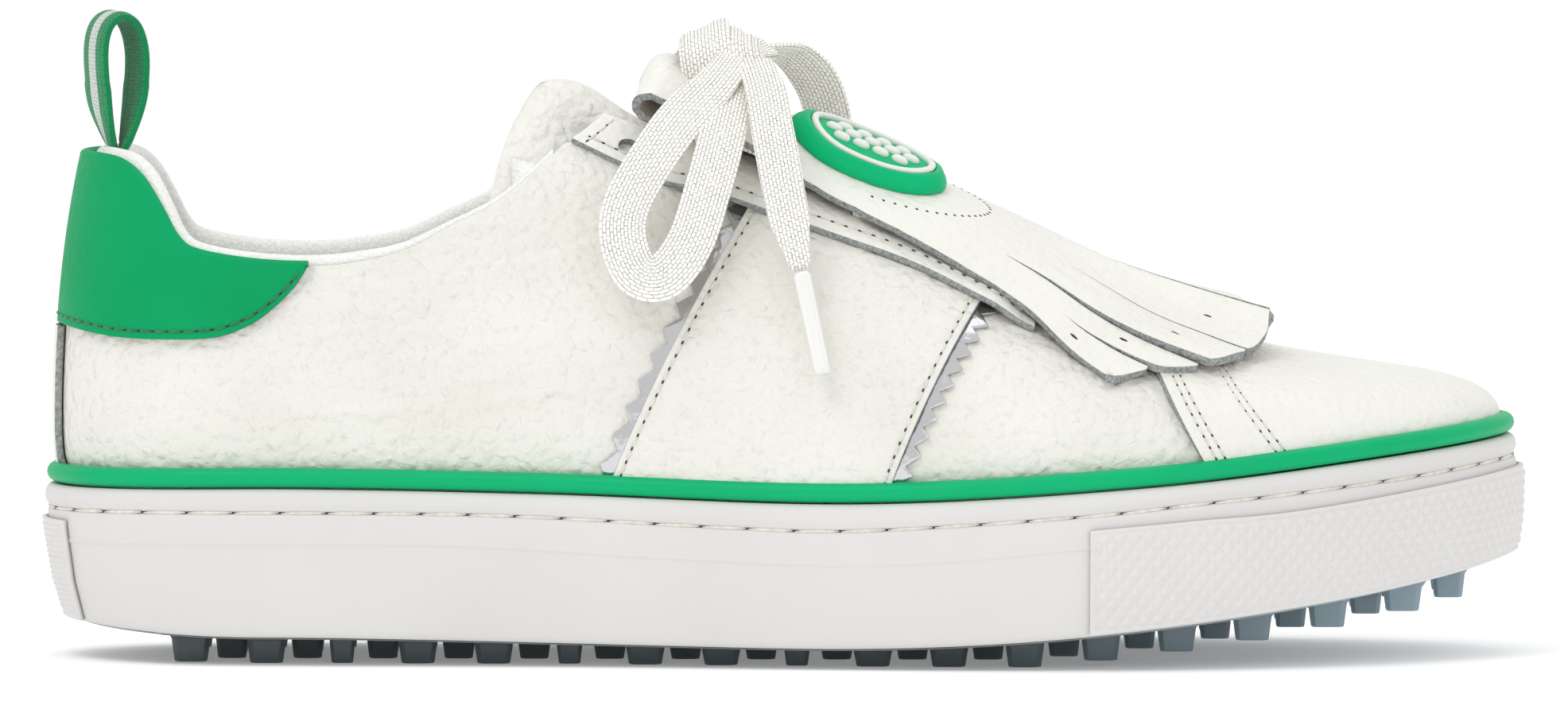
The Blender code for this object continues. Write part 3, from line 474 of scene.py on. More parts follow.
def stitch_line(bundle, path, normals, pitch=2.8, thick=0.27, lift=0.05, slant=0.0, share=0.74):
    """Stitches along a path on a surface, each sunk at both ends into a needle hole whose dark colour is
    painted shade.
    """
    reach = reach_along(path)
    count = max(int(round(reach[-1] / pitch)), 1)
    step = reach[-1] / count

    def at(s):
        return (np.array([np.interp(s, reach, path[:, k]) for k in range(3)]),
                unit(np.array([np.interp(s, reach, normals[:, k]) for k in range(3)])))

    for i in range(count):
        middle, up = at((i + 0.5) * step)
        ahead, behind = at((i + 0.9) * step)[0], at((i + 0.1) * step)[0]
        along = unit(ahead - behind)
        across = unit(np.cross(up, along))
        along = unit(along + across * slant)
        across = unit(np.cross(up, along))
        half = (step * share / 2, thick, thick * 0.8)
        bundle.take(*seed_body(middle + up * lift, along, across, up, half), slot=0)
        # The needle hole: a thin dark body whose colour is painted shade.
        spot, up = at(i * step)
        half = (step * 0.17, thick * 0.75, 0.16)
        bundle.take(*seed_body(spot + up * 0.02, along, across, up, half), slot=1)


# The last, as smooth functions of the place round the outline and the height

FEATHER = [
    (2.6, 0), (9, -18), (25, -29), (52, -32.3), (82, -33.3), (112, -36), (142, -41), (171, -45), (198, -46),
    (225, -42.5), (247, -34), (265, -20.5), (276, -6), (280.5, 9), (276, 24), (264, 35), (246, 42.5),
    (222, 46.5), (197, 47), (170, 44), (140, 37.5), (110, 32.5), (80, 31), (50, 31.5), (25, 28.5), (9, 18),
]
FEATHER_HEIGHT = [(0, 35.6), (45, 36.4), (95, 35.6), (155, 34.2), (210, 37.3), (255, 42), (290, 45.6)]
EDGE_HEIGHT = [(0, 7.6), (30, 5.7), (60, 5.4), (121, 4.3), (160, 4.2), (195, 6.1), (232, 10.4), (268, 16.4),
               (290, 22.6)]
RIDGE_HEIGHT = [(0, 142), (30, 136), (55, 127), (80, 117.5), (100, 110), (131, 96.8), (166, 82.4),
                (200, 69.3), (237, 58), (275, 50)]
RIDGE_SIDE = [(0, 0), (110, 0), (170, 2.5), (250, 7), (290, 9)]
FULLNESS = [(0, 2.0), (60, 2.05), (110, 2.15), (150, 2.1), (190, 2.1), (230, 2.25), (290, 2.2)]
TOPLINE = [
    (0, 97.2), (6, 97.2), (11.5, 96.3), (16.5, 93.3), (21, 88), (25, 82.2), (29, 79.7), (40, 77.9),
    (51, 77.4), (60, 78.2), (69, 80.4), (78, 85), (88, 90.4), (100, 100.6),
]
EYESTAY_EDGE = [(100, 100.6), (118, 92.4), (148, 81.2), (166, 74.6), (182, 67.0), (192, 63.5)]
HEEL_FAN, TOE_FAN, FAN_EASE = 34.0, 232.0, 14.0


def smooth_curve(knots, closed=False, samples=16):
    """Points of a Catmull-Rom curve through the knots."""
    knots = np.array(knots, float)
    count = len(knots)
    found = []
    for i in range(count if closed else count - 1):
        if closed:
            a, b, c, d = (knots[(i + k) % count] for k in (-1, 0, 1, 2))
        else:
            a, b, c, d = (knots[min(max(i + k, 0), count - 1)] for k in (-1, 0, 1, 2))
        t = (np.arange(samples) / samples)[:, None]
        found.append(0.5 * (2 * b + (c - a) * t + (2 * a - 5 * b + 4 * c - d) * t**2
                            + (3 * b - a - 3 * c + d) * t**3))
    if not closed:
        found.append(knots[-1:])
    return np.concatenate(found)


def profile(knots):
    points = smooth_curve(knots)
    return lambda x: np.interp(x, points[:, 0], points[:, 1])


feather_z, edge_z, ridge_z = profile(FEATHER_HEIGHT), profile(EDGE_HEIGHT), profile(RIDGE_HEIGHT)
ridge_y, fullness, topline_z = profile(RIDGE_SIDE), profile(FULLNESS), profile(TOPLINE)
eyestay_z = profile(EYESTAY_EDGE)

OUTLINE = smooth_curve(FEATHER, closed=True)
TIP = int(np.argmax(OUTLINE[:, 0]))
ROUND = np.vstack([OUTLINE, OUTLINE[:1]])
ARC = reach_along(ROUND)
WHOLE, TOE_END = ARC[-1], OUTLINE[TIP, 0]


def arc_at(side, x):
    """How far round the outline, from the back of the heel by the lateral side, the point at x is."""
    if side == "lateral":
        return np.interp(x, OUTLINE[:TIP + 1, 0], ARC[:TIP + 1])
    return np.interp(x, ROUND[TIP:, 0][::-1], ARC[TIP:][::-1])


def outline_at(arc):
    arc = np.mod(arc, WHOLE)
    return np.stack([np.interp(arc, ARC, ROUND[:, k]) for k in (0, 1)], -1)


def outward_at(arc):
    along = outline_at(np.asarray(arc) + 1.2) - outline_at(np.asarray(arc) - 1.2)
    return unit(np.stack([along[..., 1], -along[..., 0]], -1))


def eased(distance, slope):
    """The distance, flattened to the slope below zero, with a smooth turn between the two."""
    middle = distance + (1 - slope) * (FAN_EASE - distance) ** 2 / (4 * FAN_EASE)
    flat = np.where(distance <= -FAN_EASE, slope * distance, middle)
    return np.where(distance >= FAN_EASE, distance, flat)


def spine(x):
    along = np.where(x < 140, HEEL_FAN + eased(x - HEEL_FAN, 0.12), TOE_FAN - eased(TOE_FAN - x, 0.42))
    return np.stack([along, ridge_y(along)], -1)


def ridge_at(arc):
    return ridge_z(spine(outline_at(arc)[..., 0])[..., 0])


def last(arc, z):
    """Points of the last's surface, at places round the outline and heights (arrays of one shape)."""
    arc, z = np.broadcast_arrays(np.asarray(arc, float), np.asarray(z, float))
    at = outline_at(arc)
    x = at[..., 0]
    centre = spine(x)
    low, high = feather_z(x), ridge_z(centre[..., 0])
    level = np.clip((z - low) / (high - low), 0, 1)
    power = fullness(centre[..., 0])
    heel = np.clip((60 - x) / 60, 0, 1)
    spread = (1 - level**power) ** (1 / power) * (1 + 0.12 * level * (1 - level) * heel)
    plan = centre + (at - centre) * spread[..., None]
    reach = np.maximum(np.linalg.norm(at - centre, axis=-1), 1.0)
    tuck = 1.4 * np.exp(-np.maximum(z - low, 0) / 2.5) + 0.05 * np.maximum(low - z, 0)
    plan = plan + (centre - at) / reach[..., None] * (tuck * np.minimum(spread * 2, 1))[..., None]
    return np.concatenate([plan, z[..., None]], -1)


def offset_last(arc, z, out=0.0):
    """The last's surface moved out along its normal, and that normal, at each place of a grid."""
    arc, z = np.broadcast_arrays(np.asarray(arc, float), np.asarray(z, float))
    top = ridge_at(arc) - 0.02
    along = last(arc + 1.0, z) - last(arc - 1.0, z)
    up = last(arc, np.minimum(z + 0.6, top)) - last(arc, np.minimum(z - 0.6, top - 1))
    normals = unit(np.cross(along, up))
    return last(arc, np.minimum(z, top)) + normals * np.asarray(out, float)[..., None], normals


def height_at(arc, reach):
    """The heights at which the sections are reach millimetres away from the centre line."""
    arc = np.asarray(arc, float)
    low, high = feather_z(outline_at(arc)[..., 0]), ridge_at(arc)
    side = ridge_y(outline_at(arc)[..., 0])
    for _ in range(22):
        middle = (low + high) / 2
        outside = np.abs(last(arc, middle)[..., 1] - side) > reach
        low, high = np.where(outside, middle, low), np.where(outside, high, middle)
    return low


# Sole unit

RIM_OUT, RIM_DROP, WALL_IN = 2.6, 2.2, 0.9
MID_OUT = profile([(0, 2.6), (40, 3.2), (240, 3.3), (290, 4.0)])
EDGE_OUT = profile([(0, -1.8), (20, 0.4), (45, 1.6), (240, 1.8), (290, 3.0)])
GROOVE_Z = profile([(0, 28.9), (28, 29.6), (83, 29.4), (130, 27.4), (157, 27.0), (200, 29.9), (220, 32.0),
                    (235, 33.4), (262, 36.2), (277, 38.0), (290, 39.4)])
LINE_Z = profile([(0, 22.9), (28, 23.6), (77, 23.6), (120, 21.4), (160, 20.5), (200, 23.7), (240, 27),
                  (290, 33)])
BUMPER_TOP = profile([(200, 27.2), (220, 29), (243, 31), (290, 38.0)])
BUMPER_LOW, BUMPER_OUT, BUMPER_THICK, BUMPER_REAR, HEEL_BUMPER_TOP = 0.4, 1.05, 0.9, 200.6, 27.0
SOLE_STEPS = 460


def wall_out(x, z):
    """How far the cup's outer wall stands off the feather line at the height z."""
    top, edge = feather_z(x) - RIM_DROP, edge_z(x)
    level = np.clip((top - z) / (top - edge), 0, 1)
    mid, low = MID_OUT(x), EDGE_OUT(x)
    knots = [np.full_like(mid, RIM_OUT), np.full_like(mid, RIM_OUT + 0.4), mid, (mid + low) / 2 + 0.3, low]
    levels = (0, 0.12, 0.3, 0.7, 1)
    found = knots[0]
    for k in range(4):
        t = np.clip((level - levels[k]) / (levels[k + 1] - levels[k]), 0, 1)
        found = found + (knots[k + 1] - knots[k]) * t
    return found


def outline_ring(out, z):
    arc = np.linspace(0, WHOLE, SOLE_STEPS, endpoint=False)
    at = outline_at(arc)
    plan = at + outward_at(arc) * np.asarray(out)[..., None] * np.ones((len(arc), 1))
    return np.concatenate([plan, (np.asarray(z) * np.ones(len(arc)))[:, None]], -1)


def make_cup():
    x = outline_at(np.linspace(0, WHOLE, SOLE_STEPS, endpoint=False))[:, 0]
    top, edge, groove, line = feather_z(x) - RIM_DROP, edge_z(x), GROOVE_Z(x), LINE_Z(x)
    rows = [outline_ring(EDGE_OUT(x) - 4.4, edge + 2.7), outline_ring(EDGE_OUT(x) - 3.7, edge + 0.1),
            outline_ring(EDGE_OUT(x) - 2.2, edge)]

    def wall(z, extra):
        rows.append(outline_ring(wall_out(x, z) + extra, z))

    for angle in (0.05, 0.4, 0.8, 1.2):
        wall(edge + 1.1 * (1 - math.cos(angle)), -1.1 * (1 - math.sin(angle)))
    for t in np.linspace(0.03, 1, 14):
        wall(edge + 1.1 + (line - 0.8 - edge - 1.1) * t, 0.0)
    for d in (-0.55, -0.35, -0.2, 0.0, 0.2, 0.35, 0.55):
        wall(line + d, 0.26 * math.exp(-(d / 0.25) ** 2))
    for t in np.linspace(0.1, 0.95, 6):
        wall(line + 0.7 + (groove - 0.85 - line - 0.7) * t, 0.0)
    for d in (-0.85, -0.6, -0.4, -0.2, 0.0, 0.2, 0.4, 0.6, 0.85):
        wall(groove + d, -0.75 * math.exp(-(d / 0.38) ** 2))
    for t in np.linspace(0.1, 0.92, 8):
        wall(groove + 0.95 + (top - 0.2 - groove - 0.95) * t, 0.55 * math.sin(math.pi * t) ** 0.7)
    rows.append(outline_ring(RIM_OUT - 0.35, top))
    rows.append(outline_ring(-WALL_IN, top))
    rows.append(outline_ring(-WALL_IN, feather_z(x) - 12.4))
    rows.append(outline_ring(-3.4, edge + 6.0))
    faces = grid_faces(len(rows), SOLE_STEPS, wrap=True).reshape(-1, 4).tolist()
    faces = [face[::-1] for face in faces + end_faces(len(rows), SOLE_STEPS)]
    make_piece("cup_wall", np.concatenate(rows), faces, [SOLE_RUBBER], node="cupsole")
    seam = Bundle()
    arc = np.linspace(0, WHOLE, 900)
    at, away = outline_at(arc), outward_at(arc)
    z = GROOVE_Z(at[:, 0])
    path = np.concatenate([at + away * (wall_out(at[:, 0], z) - 0.62)[:, None], z[:, None]], -1)
    normals = np.concatenate([away, np.zeros((len(arc), 1))], -1)
    stitch_line(seam, path, normals, pitch=9.1, thick=0.42, lift=0.12, slant=0.012, share=0.95)
    seam.make("sole_stitching", [THREAD, NEEDLE_HOLE], slot="cupsole")


def bumper_skin(node, arc, rows, top, texture):
    """A textured patch on the cup's wall; texture(distance round, distance down) is its pattern's height."""
    x = outline_at(arc)[:, 0]
    high, floor = top(x), edge_z(x) + BUMPER_LOW
    t = np.linspace(0, 1, rows)[:, None]
    z = high + (floor - high) * t
    at, away = outline_at(arc), outward_at(arc)
    shift = arc - arc.mean()
    down = high - z
    rim = np.minimum(np.minimum(down, z - floor), np.minimum(arc - arc[0], arc[-1] - arc)[None, :] + 0 * z)
    plain = np.clip((rim - 0.9) / 0.4, 0, 1)
    lip = np.exp(-((rim - 0.35) / 0.3) ** 2) * 0.25
    pattern = texture(shift[None, :] + 0 * z, down) * plain
    out = wall_out(x[None, :] + 0 * z, z) + BUMPER_OUT + pattern + lip
    plan = at[None] + away[None] * out[..., None]
    grid = np.concatenate([plan, z[..., None]], -1)
    normals = np.concatenate([np.broadcast_to(away[None], plan.shape), np.zeros_like(z)[..., None]], -1)
    skin(f"{node}_texture", grid, normals, BUMPER_THICK, [BUMPER_RUBBER], node=node, round_edge=0.0)


def sawtooth(value):
    return 1 - np.abs(2 * (value - np.floor(value)) - 1)


def diamonds(around, down):
    a, b = around / 2.9 + down / 3.7, around / 2.9 - down / 3.7
    return 0.62 * np.minimum(sawtooth(a), sawtooth(b))


def bricks(around, down):
    row = np.floor(down / 1.05)
    a = sawtooth(around / 1.9 + 0.5 * (row % 2))
    b = sawtooth(down / 1.05)
    return 0.34 * np.clip(np.minimum(a * 2.2, b * 1.3), 0, 0.8)


def make_bumpers():
    start, finish = arc_at("lateral", BUMPER_REAR), arc_at("medial", BUMPER_REAR)
    bumper_skin("toe_bumper", np.linspace(start, finish, 640), 84, BUMPER_TOP, diamonds)
    reach = arc_at("lateral", 6.5)
    arc = np.linspace(-reach, reach, 150)
    bumper_skin("heel_bumper", arc, 90, lambda x: HEEL_BUMPER_TOP + 0 * x, bricks)


def make_piping():
    arc = np.linspace(0, WHOLE, SOLE_STEPS, endpoint=False)
    at = outline_at(arc) + outward_at(arc) * 1.15
    path = np.concatenate([at, feather_z(outline_at(arc)[:, 0])[:, None]], -1)
    points, faces = tube_mesh(path, 1.9, 16, closed=True)
    make_piece("piping_cord", points, faces[:, ::-1], [GREEN_RUBBER], node="piping_strip")


STUD_PITCH, STUD_DROP, STUD_MARGIN = 14.6, 5.6, 5.5
STUD_CORNERS = np.array([(1, -0.72), (1, 0.72), (0.72, 1), (-0.72, 1), (-1, 0.72), (-1, -0.72), (-0.72, -1),
                         (0.72, -1)])
STUD_SIDES = len(STUD_CORNERS)


def stud_places():
    """Each stud's x, its share of the way out from the middle (-1 to 1), and its width."""
    for i in range(17):
        small = i % 3 == 2 and i < 11
        for share in (-0.8, 0.8):
            yield 27.8 + STUD_PITCH * i, share, 4.6 if small else 7.0
    for i in range(16):
        for share in (-0.3, 0.3):
            yield 35.5 + STUD_PITCH * i, share, 6.0
    for share in (-0.6, 0.6):
        yield 270.5, share, 6.0


def make_tread():
    x = outline_at(np.linspace(0, WHOLE, SOLE_STEPS, endpoint=False))[:, 0]
    rows = [outline_ring(EDGE_OUT(x) - inset, edge_z(x) + rise)
            for inset, rise in ((1.9, 0.1), (1.6, -0.1), (1.9, -0.4), (3.0, -0.45))]
    bundle = Bundle()
    faces = grid_faces(len(rows), SOLE_STEPS, wrap=True).reshape(-1, 4).tolist()
    bundle.take(np.concatenate(rows), faces + end_faces(len(rows), SOLE_STEPS))
    for x, share, width in stud_places():
        low = outline_at(arc_at("lateral", x))[1] + STUD_MARGIN
        high = outline_at(arc_at("medial", x))[1] - STUD_MARGIN
        y = (low + high) / 2 + share * (high - low) / 2
        bottom, top = max(float(edge_z(x)) - STUD_DROP, 0.0), float(edge_z(x)) + 0.2
        rings = []
        for z, scale in ((top, 0.66), (top - 0.9, 0.57), (top - 1.2, 0.535), (bottom + 0.35, 0.456),
                         (bottom + 0.08, 0.44), (bottom, 0.40), (bottom, 0.26), (bottom + 0.35, 0.22),
                         (bottom + 0.35, 0.05)):
            ring = STUD_CORNERS * width * scale
            rings.append(np.column_stack([x + ring[:, 0], y + ring[:, 1], np.full(STUD_SIDES, z)]))
        faces = grid_faces(len(rings), STUD_SIDES, wrap=True).reshape(-1, 4).tolist()
        faces = [face[::-1] for face in faces + end_faces(len(rings), STUD_SIDES)]
        bundle.take(np.concatenate(rings), faces)
    obj = bundle.make("tread_with_studs", [TREAD], node="tread_plate")
    obj.data.polygons.foreach_set("use_smooth", np.zeros(len(obj.data.polygons), bool))
    add_bevel(obj, "moulded_edge", 0.25, 30)


def make_sockliner():
    arc = np.linspace(0, WHOLE, 240, endpoint=False)
    at = outline_at(arc)
    centre = spine(at[:, 0])
    inside = at - outward_at(arc) * 7.2
    rows = []
    for t in np.concatenate([np.linspace(0, 0.9, 22), [0.96, 0.99, 1.0]]):
        plan = centre + (inside - centre) * max(t, 0.004)
        z = feather_z(at[:, 0]) - 6.1 + 1.0 * t**4 - 0.6 * max(t - 0.95, 0) / 0.05
        rows.append(np.column_stack([plan, z]))
    grid = np.stack(rows)
    normals = np.zeros_like(grid)
    normals[..., 2] = 1
    obj = skin("sockliner_pad", grid, normals, 3.4, [MESH_LINING], wrap=True, node="sockliner")


make_cup()
make_bumpers()
make_piping()
make_tread()
make_sockliner()


# Upper: leather panels

LEATHER = 1.2
ON_QUARTER, ON_SADDLE, SADDLE_SEAM = 1.6, 3.9, 1.5
PIPING_TOP, THROAT, SIDE_SEAM = 2.4, 190.0, 150.0
upper_seams = Bundle()


def make_creases(count, x_range, z_range, length, width, depth):
    """Soft folds in the leather: a function of x and z that gives how far the surface rises there."""
    folds = [(rng.uniform(*x_range), rng.uniform(*z_range), rng.uniform(*length), rng.uniform(*width),
              rng.uniform(-0.28, 0.28), rng.uniform(0.4, 1.0) * rng.choice([-1, 1]) * depth)
             for _ in range(count)]

    def rise(x, z):
        found = np.zeros(np.broadcast(x, z).shape)
        for x0, z0, long, wide, lean, high in folds:
            u, v = x - x0, z - z0 - lean * (x - x0) - 0.012 * (x - x0) ** 2 / long
            found = found + high * np.exp(-(u / long) ** 2) * np.exp(-(v / wide) ** 2)
        return found

    return rise


quarter_folds = make_creases(46, (50, 112), (48, 88), (6, 16), (0.8, 2.0), 0.42)
saddle_folds = make_creases(22, (118, 172), (42, 76), (5, 12), (0.8, 2.0), 0.18)
vamp_folds = make_creases(40, (178, 222), (44, 66), (4, 11), (1.0, 2.2), 0.26)


def quarter_top(x):
    return np.where(x < 100, topline_z(x), eyestay_z(np.maximum(x, 100)) + np.minimum(6.0, (x - 100) * 0.5))


def side_skin(name, side, x, z, out, thick, materials, **where):
    grid, normals = offset_last(arc_at(side, x), z, out + 0 * z)
    return skin(name, grid, normals, thick, materials, **where)


def seam_on(side, x, z, out):
    path, normals = offset_last(arc_at(side, x), z, out + 0 * z)
    stitch_line(upper_seams, path, normals)


def make_quarter(side):
    arc = np.linspace(0 if side == "lateral" else WHOLE, arc_at(side, SIDE_SEAM), 210)
    x = outline_at(arc)[:, 0]
    t = np.linspace(0, 1, 96)[:, None]
    z = (feather_z(x) - 4)[None] * (1 - t) + (quarter_top(x) - 0.3)[None] * t
    grid, normals = offset_last(np.broadcast_to(arc, z.shape), z, quarter_folds(x[None], z))
    skin(f"quarter_{side}_leather", grid, normals, LEATHER, [WHITE_LEATHER, GREY_EDGE, FLESH],
         node=f"quarter_{side}")


def saddle_ends(t):
    return 109 + 26.6 * t, 162.7 + 17.6 * t


def make_saddle(side):
    t = np.linspace(0, 1, 84)[:, None]
    s = np.linspace(0, 1, 90)[None]

    def spot(t, s, spread=0.0):
        first, last_x = saddle_ends(t)
        x = (first - spread) * (1 - s) + (last_x + spread) * s
        low, high = feather_z(x) + PIPING_TOP - 1.2, eyestay_z(x) + 2.2
        return x, low + (high - low) * t

    x, z = spot(t, s)
    inset = np.minimum(s, 1 - s) * (x[:, -1:] - x[:, :1])
    channel = -0.16 * np.exp(-((inset - SADDLE_SEAM) / 0.55) ** 2)
    side_skin(f"saddle_{side}_leather", side, x, z, 2.2 + saddle_folds(x, z) + channel, 1.0,
              [WHITE_LEATHER, GREY_EDGE, FLESH], node=f"saddle_panel_{side}")
    fine = np.linspace(0.02, 0.95, 60)
    first, last_x = saddle_ends(fine)
    s_at = SADDLE_SEAM / (last_x - first)
    for s in (s_at, 1 - s_at):
        x, z = spot(fine, s)
        seam_on(side, x, z, 2.12)
    teeth = 1.2 + 2.2 * sawtooth(11 * np.linspace(0, 1, 89)[:, None])
    x, z = spot(np.linspace(0, 1, 89)[:, None], np.linspace(0, 1, 60)[None], teeth)
    side_skin(f"pinked_trim_{side}", side, x, z, 0.9, 0.5, [MIRROR, MIRROR, FLESH], round_edge=0.08,
              node=f"pinked_underlay_{side}")


EYELETS = (112.0, 126.0, 141.0, 155.5, 168.5, 181.0)
EYELET_RADIUS, EYELET_REACH, EYESTAY_REACH = 2.3, 17.0, 11.0


def eyestay_out(x):
    climb = np.clip(np.minimum((x - 118) / 10, (190 - x) / 9.5), 0, 1)
    return ON_QUARTER + (ON_SADDLE - ON_QUARTER) * eased_step(climb)


def apply_modifiers(obj):
    graph = bpy.context.evaluated_depsgraph_get()
    mesh = bpy.data.meshes.new_from_object(obj.evaluated_get(graph))
    obj.modifiers.clear()
    obj.data = mesh


def make_eyestay(side):
    u = np.linspace(0, 1, 150)[None]
    v = np.linspace(0, 1, 30)[:, None]
    x = (101 + 6 * v) * (1 - u) + THROAT * u
    low, high = eyestay_z(x), height_at(arc_at(side, x), EYESTAY_REACH)
    z = low + (high - low) * v
    channel = -0.14 * np.exp(-((z - low - 1.8) / 0.5) ** 2)
    grid, normals = offset_last(arc_at(side, x), z, eyestay_out(x) + channel)
    obj = skin(f"eyestay_{side}_leather", grid, normals, LEATHER + 0.15, [SMOOTH_LEATHER, GREY_EDGE, FLESH],
               round_edge=0.0, node=f"eyestay_{side}")
    punch = Bundle()
    for at_x in EYELETS:
        arc = arc_at(side, at_x)
        z_at = height_at(np.array([arc]), EYELET_REACH)
        spots, _ = offset_last(np.array([arc, arc]), np.array([z_at[0]] * 2), np.array([8.0, -4.0]))
        points, faces = tube_mesh(spots, EYELET_RADIUS, 28)
        punch.take(points, faces.tolist() + [face[::-1] for face in end_faces(2, 28)])
    cutter = punch.make(f"punch_{side}", [GREY_EDGE], body=None)
    cut = obj.modifiers.new("eyelets", "BOOLEAN")
    cut.operation = "DIFFERENCE"
    cut.object = cutter
    apply_modifiers(obj)
    bpy.data.objects.remove(cutter, do_unlink=True)
    add_bevel(obj, "soft_edge", 0.25, 55)
    line = np.linspace(104.5, 188, 90)
    seam_on(side, line, eyestay_z(line) + 1.8, eyestay_out(line) - 0.08)
    v = np.linspace(0.12, 0.95, 20)
    x = 103.2 + 6 * v
    low, high = eyestay_z(x), height_at(arc_at(side, x), EYESTAY_REACH)
    seam_on(side, x, low + (high - low) * v, ON_QUARTER - 0.05)


def over_grid(start, shares, thetas, foot):
    """Arcs and heights over the forefoot, from the lateral feather line over the ridge to the medial one."""
    share = np.asarray(shares)[:, None]
    level = np.sin(np.asarray(thetas))[None]
    x = start(level) + (TOE_END - start(level)) * share
    arcs, heights = [], []
    for side in ("lateral", "medial"):
        arc = arc_at(side, x)
        low, high = feather_z(outline_at(arc)[..., 0]) + foot * (1 - level), ridge_at(arc)
        arcs.append(arc)
        heights.append(low + (high - low) * level)
    return (np.concatenate([arcs[0], arcs[1][:, -2::-1]], axis=1),
            np.concatenate([heights[0], heights[1][:, -2::-1]], axis=1))


def throat_hole(x, end, columns):
    """The faces of a grid over the forefoot that lie behind end and near the ridge."""
    place = np.arange(x.shape[1] - 1)[None] + 0.5
    return (x[:-1, :-1] < end) & (np.abs(place - (x.shape[1] - 1) / 2) < columns)


def make_vamp():
    start, last_x = SIDE_SEAM + 0.6, 236.0
    shares = np.linspace(0, (last_x - start) / (TOE_END - start), 100)
    thetas = np.linspace(0, math.pi / 2, 80)
    arc, z = over_grid(lambda level: start + 0 * level, shares, thetas, -4.0)
    x = outline_at(arc)[..., 0]
    grid, normals = offset_last(arc, z, vamp_folds(x, z))
    hole = throat_hole(x, THROAT - 2, 27)
    skin("vamp_leather", grid, normals, LEATHER, [WHITE_LEATHER, GREY_EDGE, FLESH], hole=hole, node="vamp")


CAP_SEAMS, CAP_THICK = (2.4, 4.1, 14.0, 15.7), 1.7


def cap_edge(level):
    """The x of the toe cap's rear edge, at a share of the way up from the feather line to the ridge."""
    return 223.0 - 14.0 * level


def make_toe_cap():
    shares = np.sin(np.linspace(0, math.pi / 2, 110))
    thetas = np.linspace(0, math.pi / 2, 84)
    arc, z = over_grid(cap_edge, shares, thetas, PIPING_TOP - 1.4)
    grid, normals = offset_last(arc, z, 0.0 * z)
    level = np.sin(np.concatenate([thetas, thetas[-2::-1]]))[None]
    ahead = np.asarray(shares)[:, None] * (TOE_END - cap_edge(level))
    rows = sum(np.exp(-((ahead - at) / 0.5) ** 2) for at in CAP_SEAMS)
    out = 2.1 - 0.9 * np.clip((ahead - 6) / 20, 0, 1) - 0.16 * rows
    grid = grid + normals * out[..., None]
    skin("toe_cap_leather", grid, normals, CAP_THICK, [SMOOTH_LEATHER, GREY_EDGE, FLESH], weld=True,
         node="toe_cap")
    level = np.sin(np.linspace(0.06, math.pi / 2, 80))
    for at in CAP_SEAMS:
        halves = []
        for side in ("lateral", "medial"):
            x = cap_edge(level) + at * (1 - 0.12 * level)
            arc = arc_at(side, x)
            low = feather_z(x) + PIPING_TOP - 1.4
            out = 2.0 - 0.9 * np.clip((at - 6) / 20, 0, 1)
            halves.append(offset_last(arc, low + (ridge_at(arc) - low) * level, np.full(len(level), out)))
        path = np.concatenate([halves[0][0], halves[1][0][-2::-1]])
        stitch_line(upper_seams, path, np.concatenate([halves[0][1], halves[1][1][-2::-1]]), pitch=2.5)


TAB_LOW = [(2, 64.8), (13, 63), (23, 62.7), (33, 63.3), (40, 66), (45, 69.8), (48.5, 73.6), (51, 77.6)]
TAB_ROWS, TAB_SEAM, TAB_ROLL = 48, 1.5, 1.1


def make_heel_tab():
    tab_low = profile(TAB_LOW)
    reach = arc_at("lateral", TAB_LOW[-1][0])
    arc = np.linspace(-reach, arc_at("lateral", 0) + reach * 0.994, 190)
    x = outline_at(arc)[:, 0]
    top = topline_z(x) - 0.7
    low = tab_low(x)
    z = low + (top - low) * np.linspace(0, 1, TAB_ROWS)[:, None]
    out = ON_QUARTER - 0.12 * np.exp(-((z - low - TAB_SEAM) / 0.5) ** 2)
    grid, normals = offset_last(np.broadcast_to(arc, z.shape), z, out)
    rim, away = grid[-1], unit(normals[-1] * np.array([1, 1, 0]))
    over = []
    for angle in np.linspace(0.15, 3.0, 12):
        over.append(rim - away * TAB_ROLL * (1 - math.cos(angle)) + [0, 0, TAB_ROLL * math.sin(angle)])
    grid = np.concatenate([grid, np.stack(over)])
    normals = grid_normals(grid)
    if (normals[10] * away).sum() < 0:
        normals = -normals
    skin("heel_tab_leather", grid, normals, 1.2, [GREEN_LEATHER, DARK_EDGE, GREEN_LEATHER], node="heel_tab")
    seams = Bundle()
    path, up = offset_last(arc[2:-2], low[2:-2] + TAB_SEAM, np.full(len(arc) - 4, 1.52))
    stitch_line(seams, path, up, pitch=3.0, thick=0.34)
    seams.make("heel_tab_stitching", [GREEN_THREAD, NEEDLE_HOLE], slot="heel_tab")


def make_backstay():
    reach = arc_at("lateral", 3.1)
    arc = np.linspace(-reach, reach, 24)
    t = np.linspace(0, 1, 60)[:, None]
    x = outline_at(arc)[:, 0]
    z = (feather_z(x) + PIPING_TOP - 1)[None] * (1 - t) + 64.0 * t
    grid, normals = offset_last(np.broadcast_to(arc, z.shape), z, np.full(z.shape, ON_QUARTER + 0.3))
    skin("backstay_leather", grid, normals, 1.5, [SMOOTH_LEATHER, GREY_EDGE, FLESH], node="backstay_strip")


COLLAR_FRONT, ROLL_STEPS = 98.0, 18


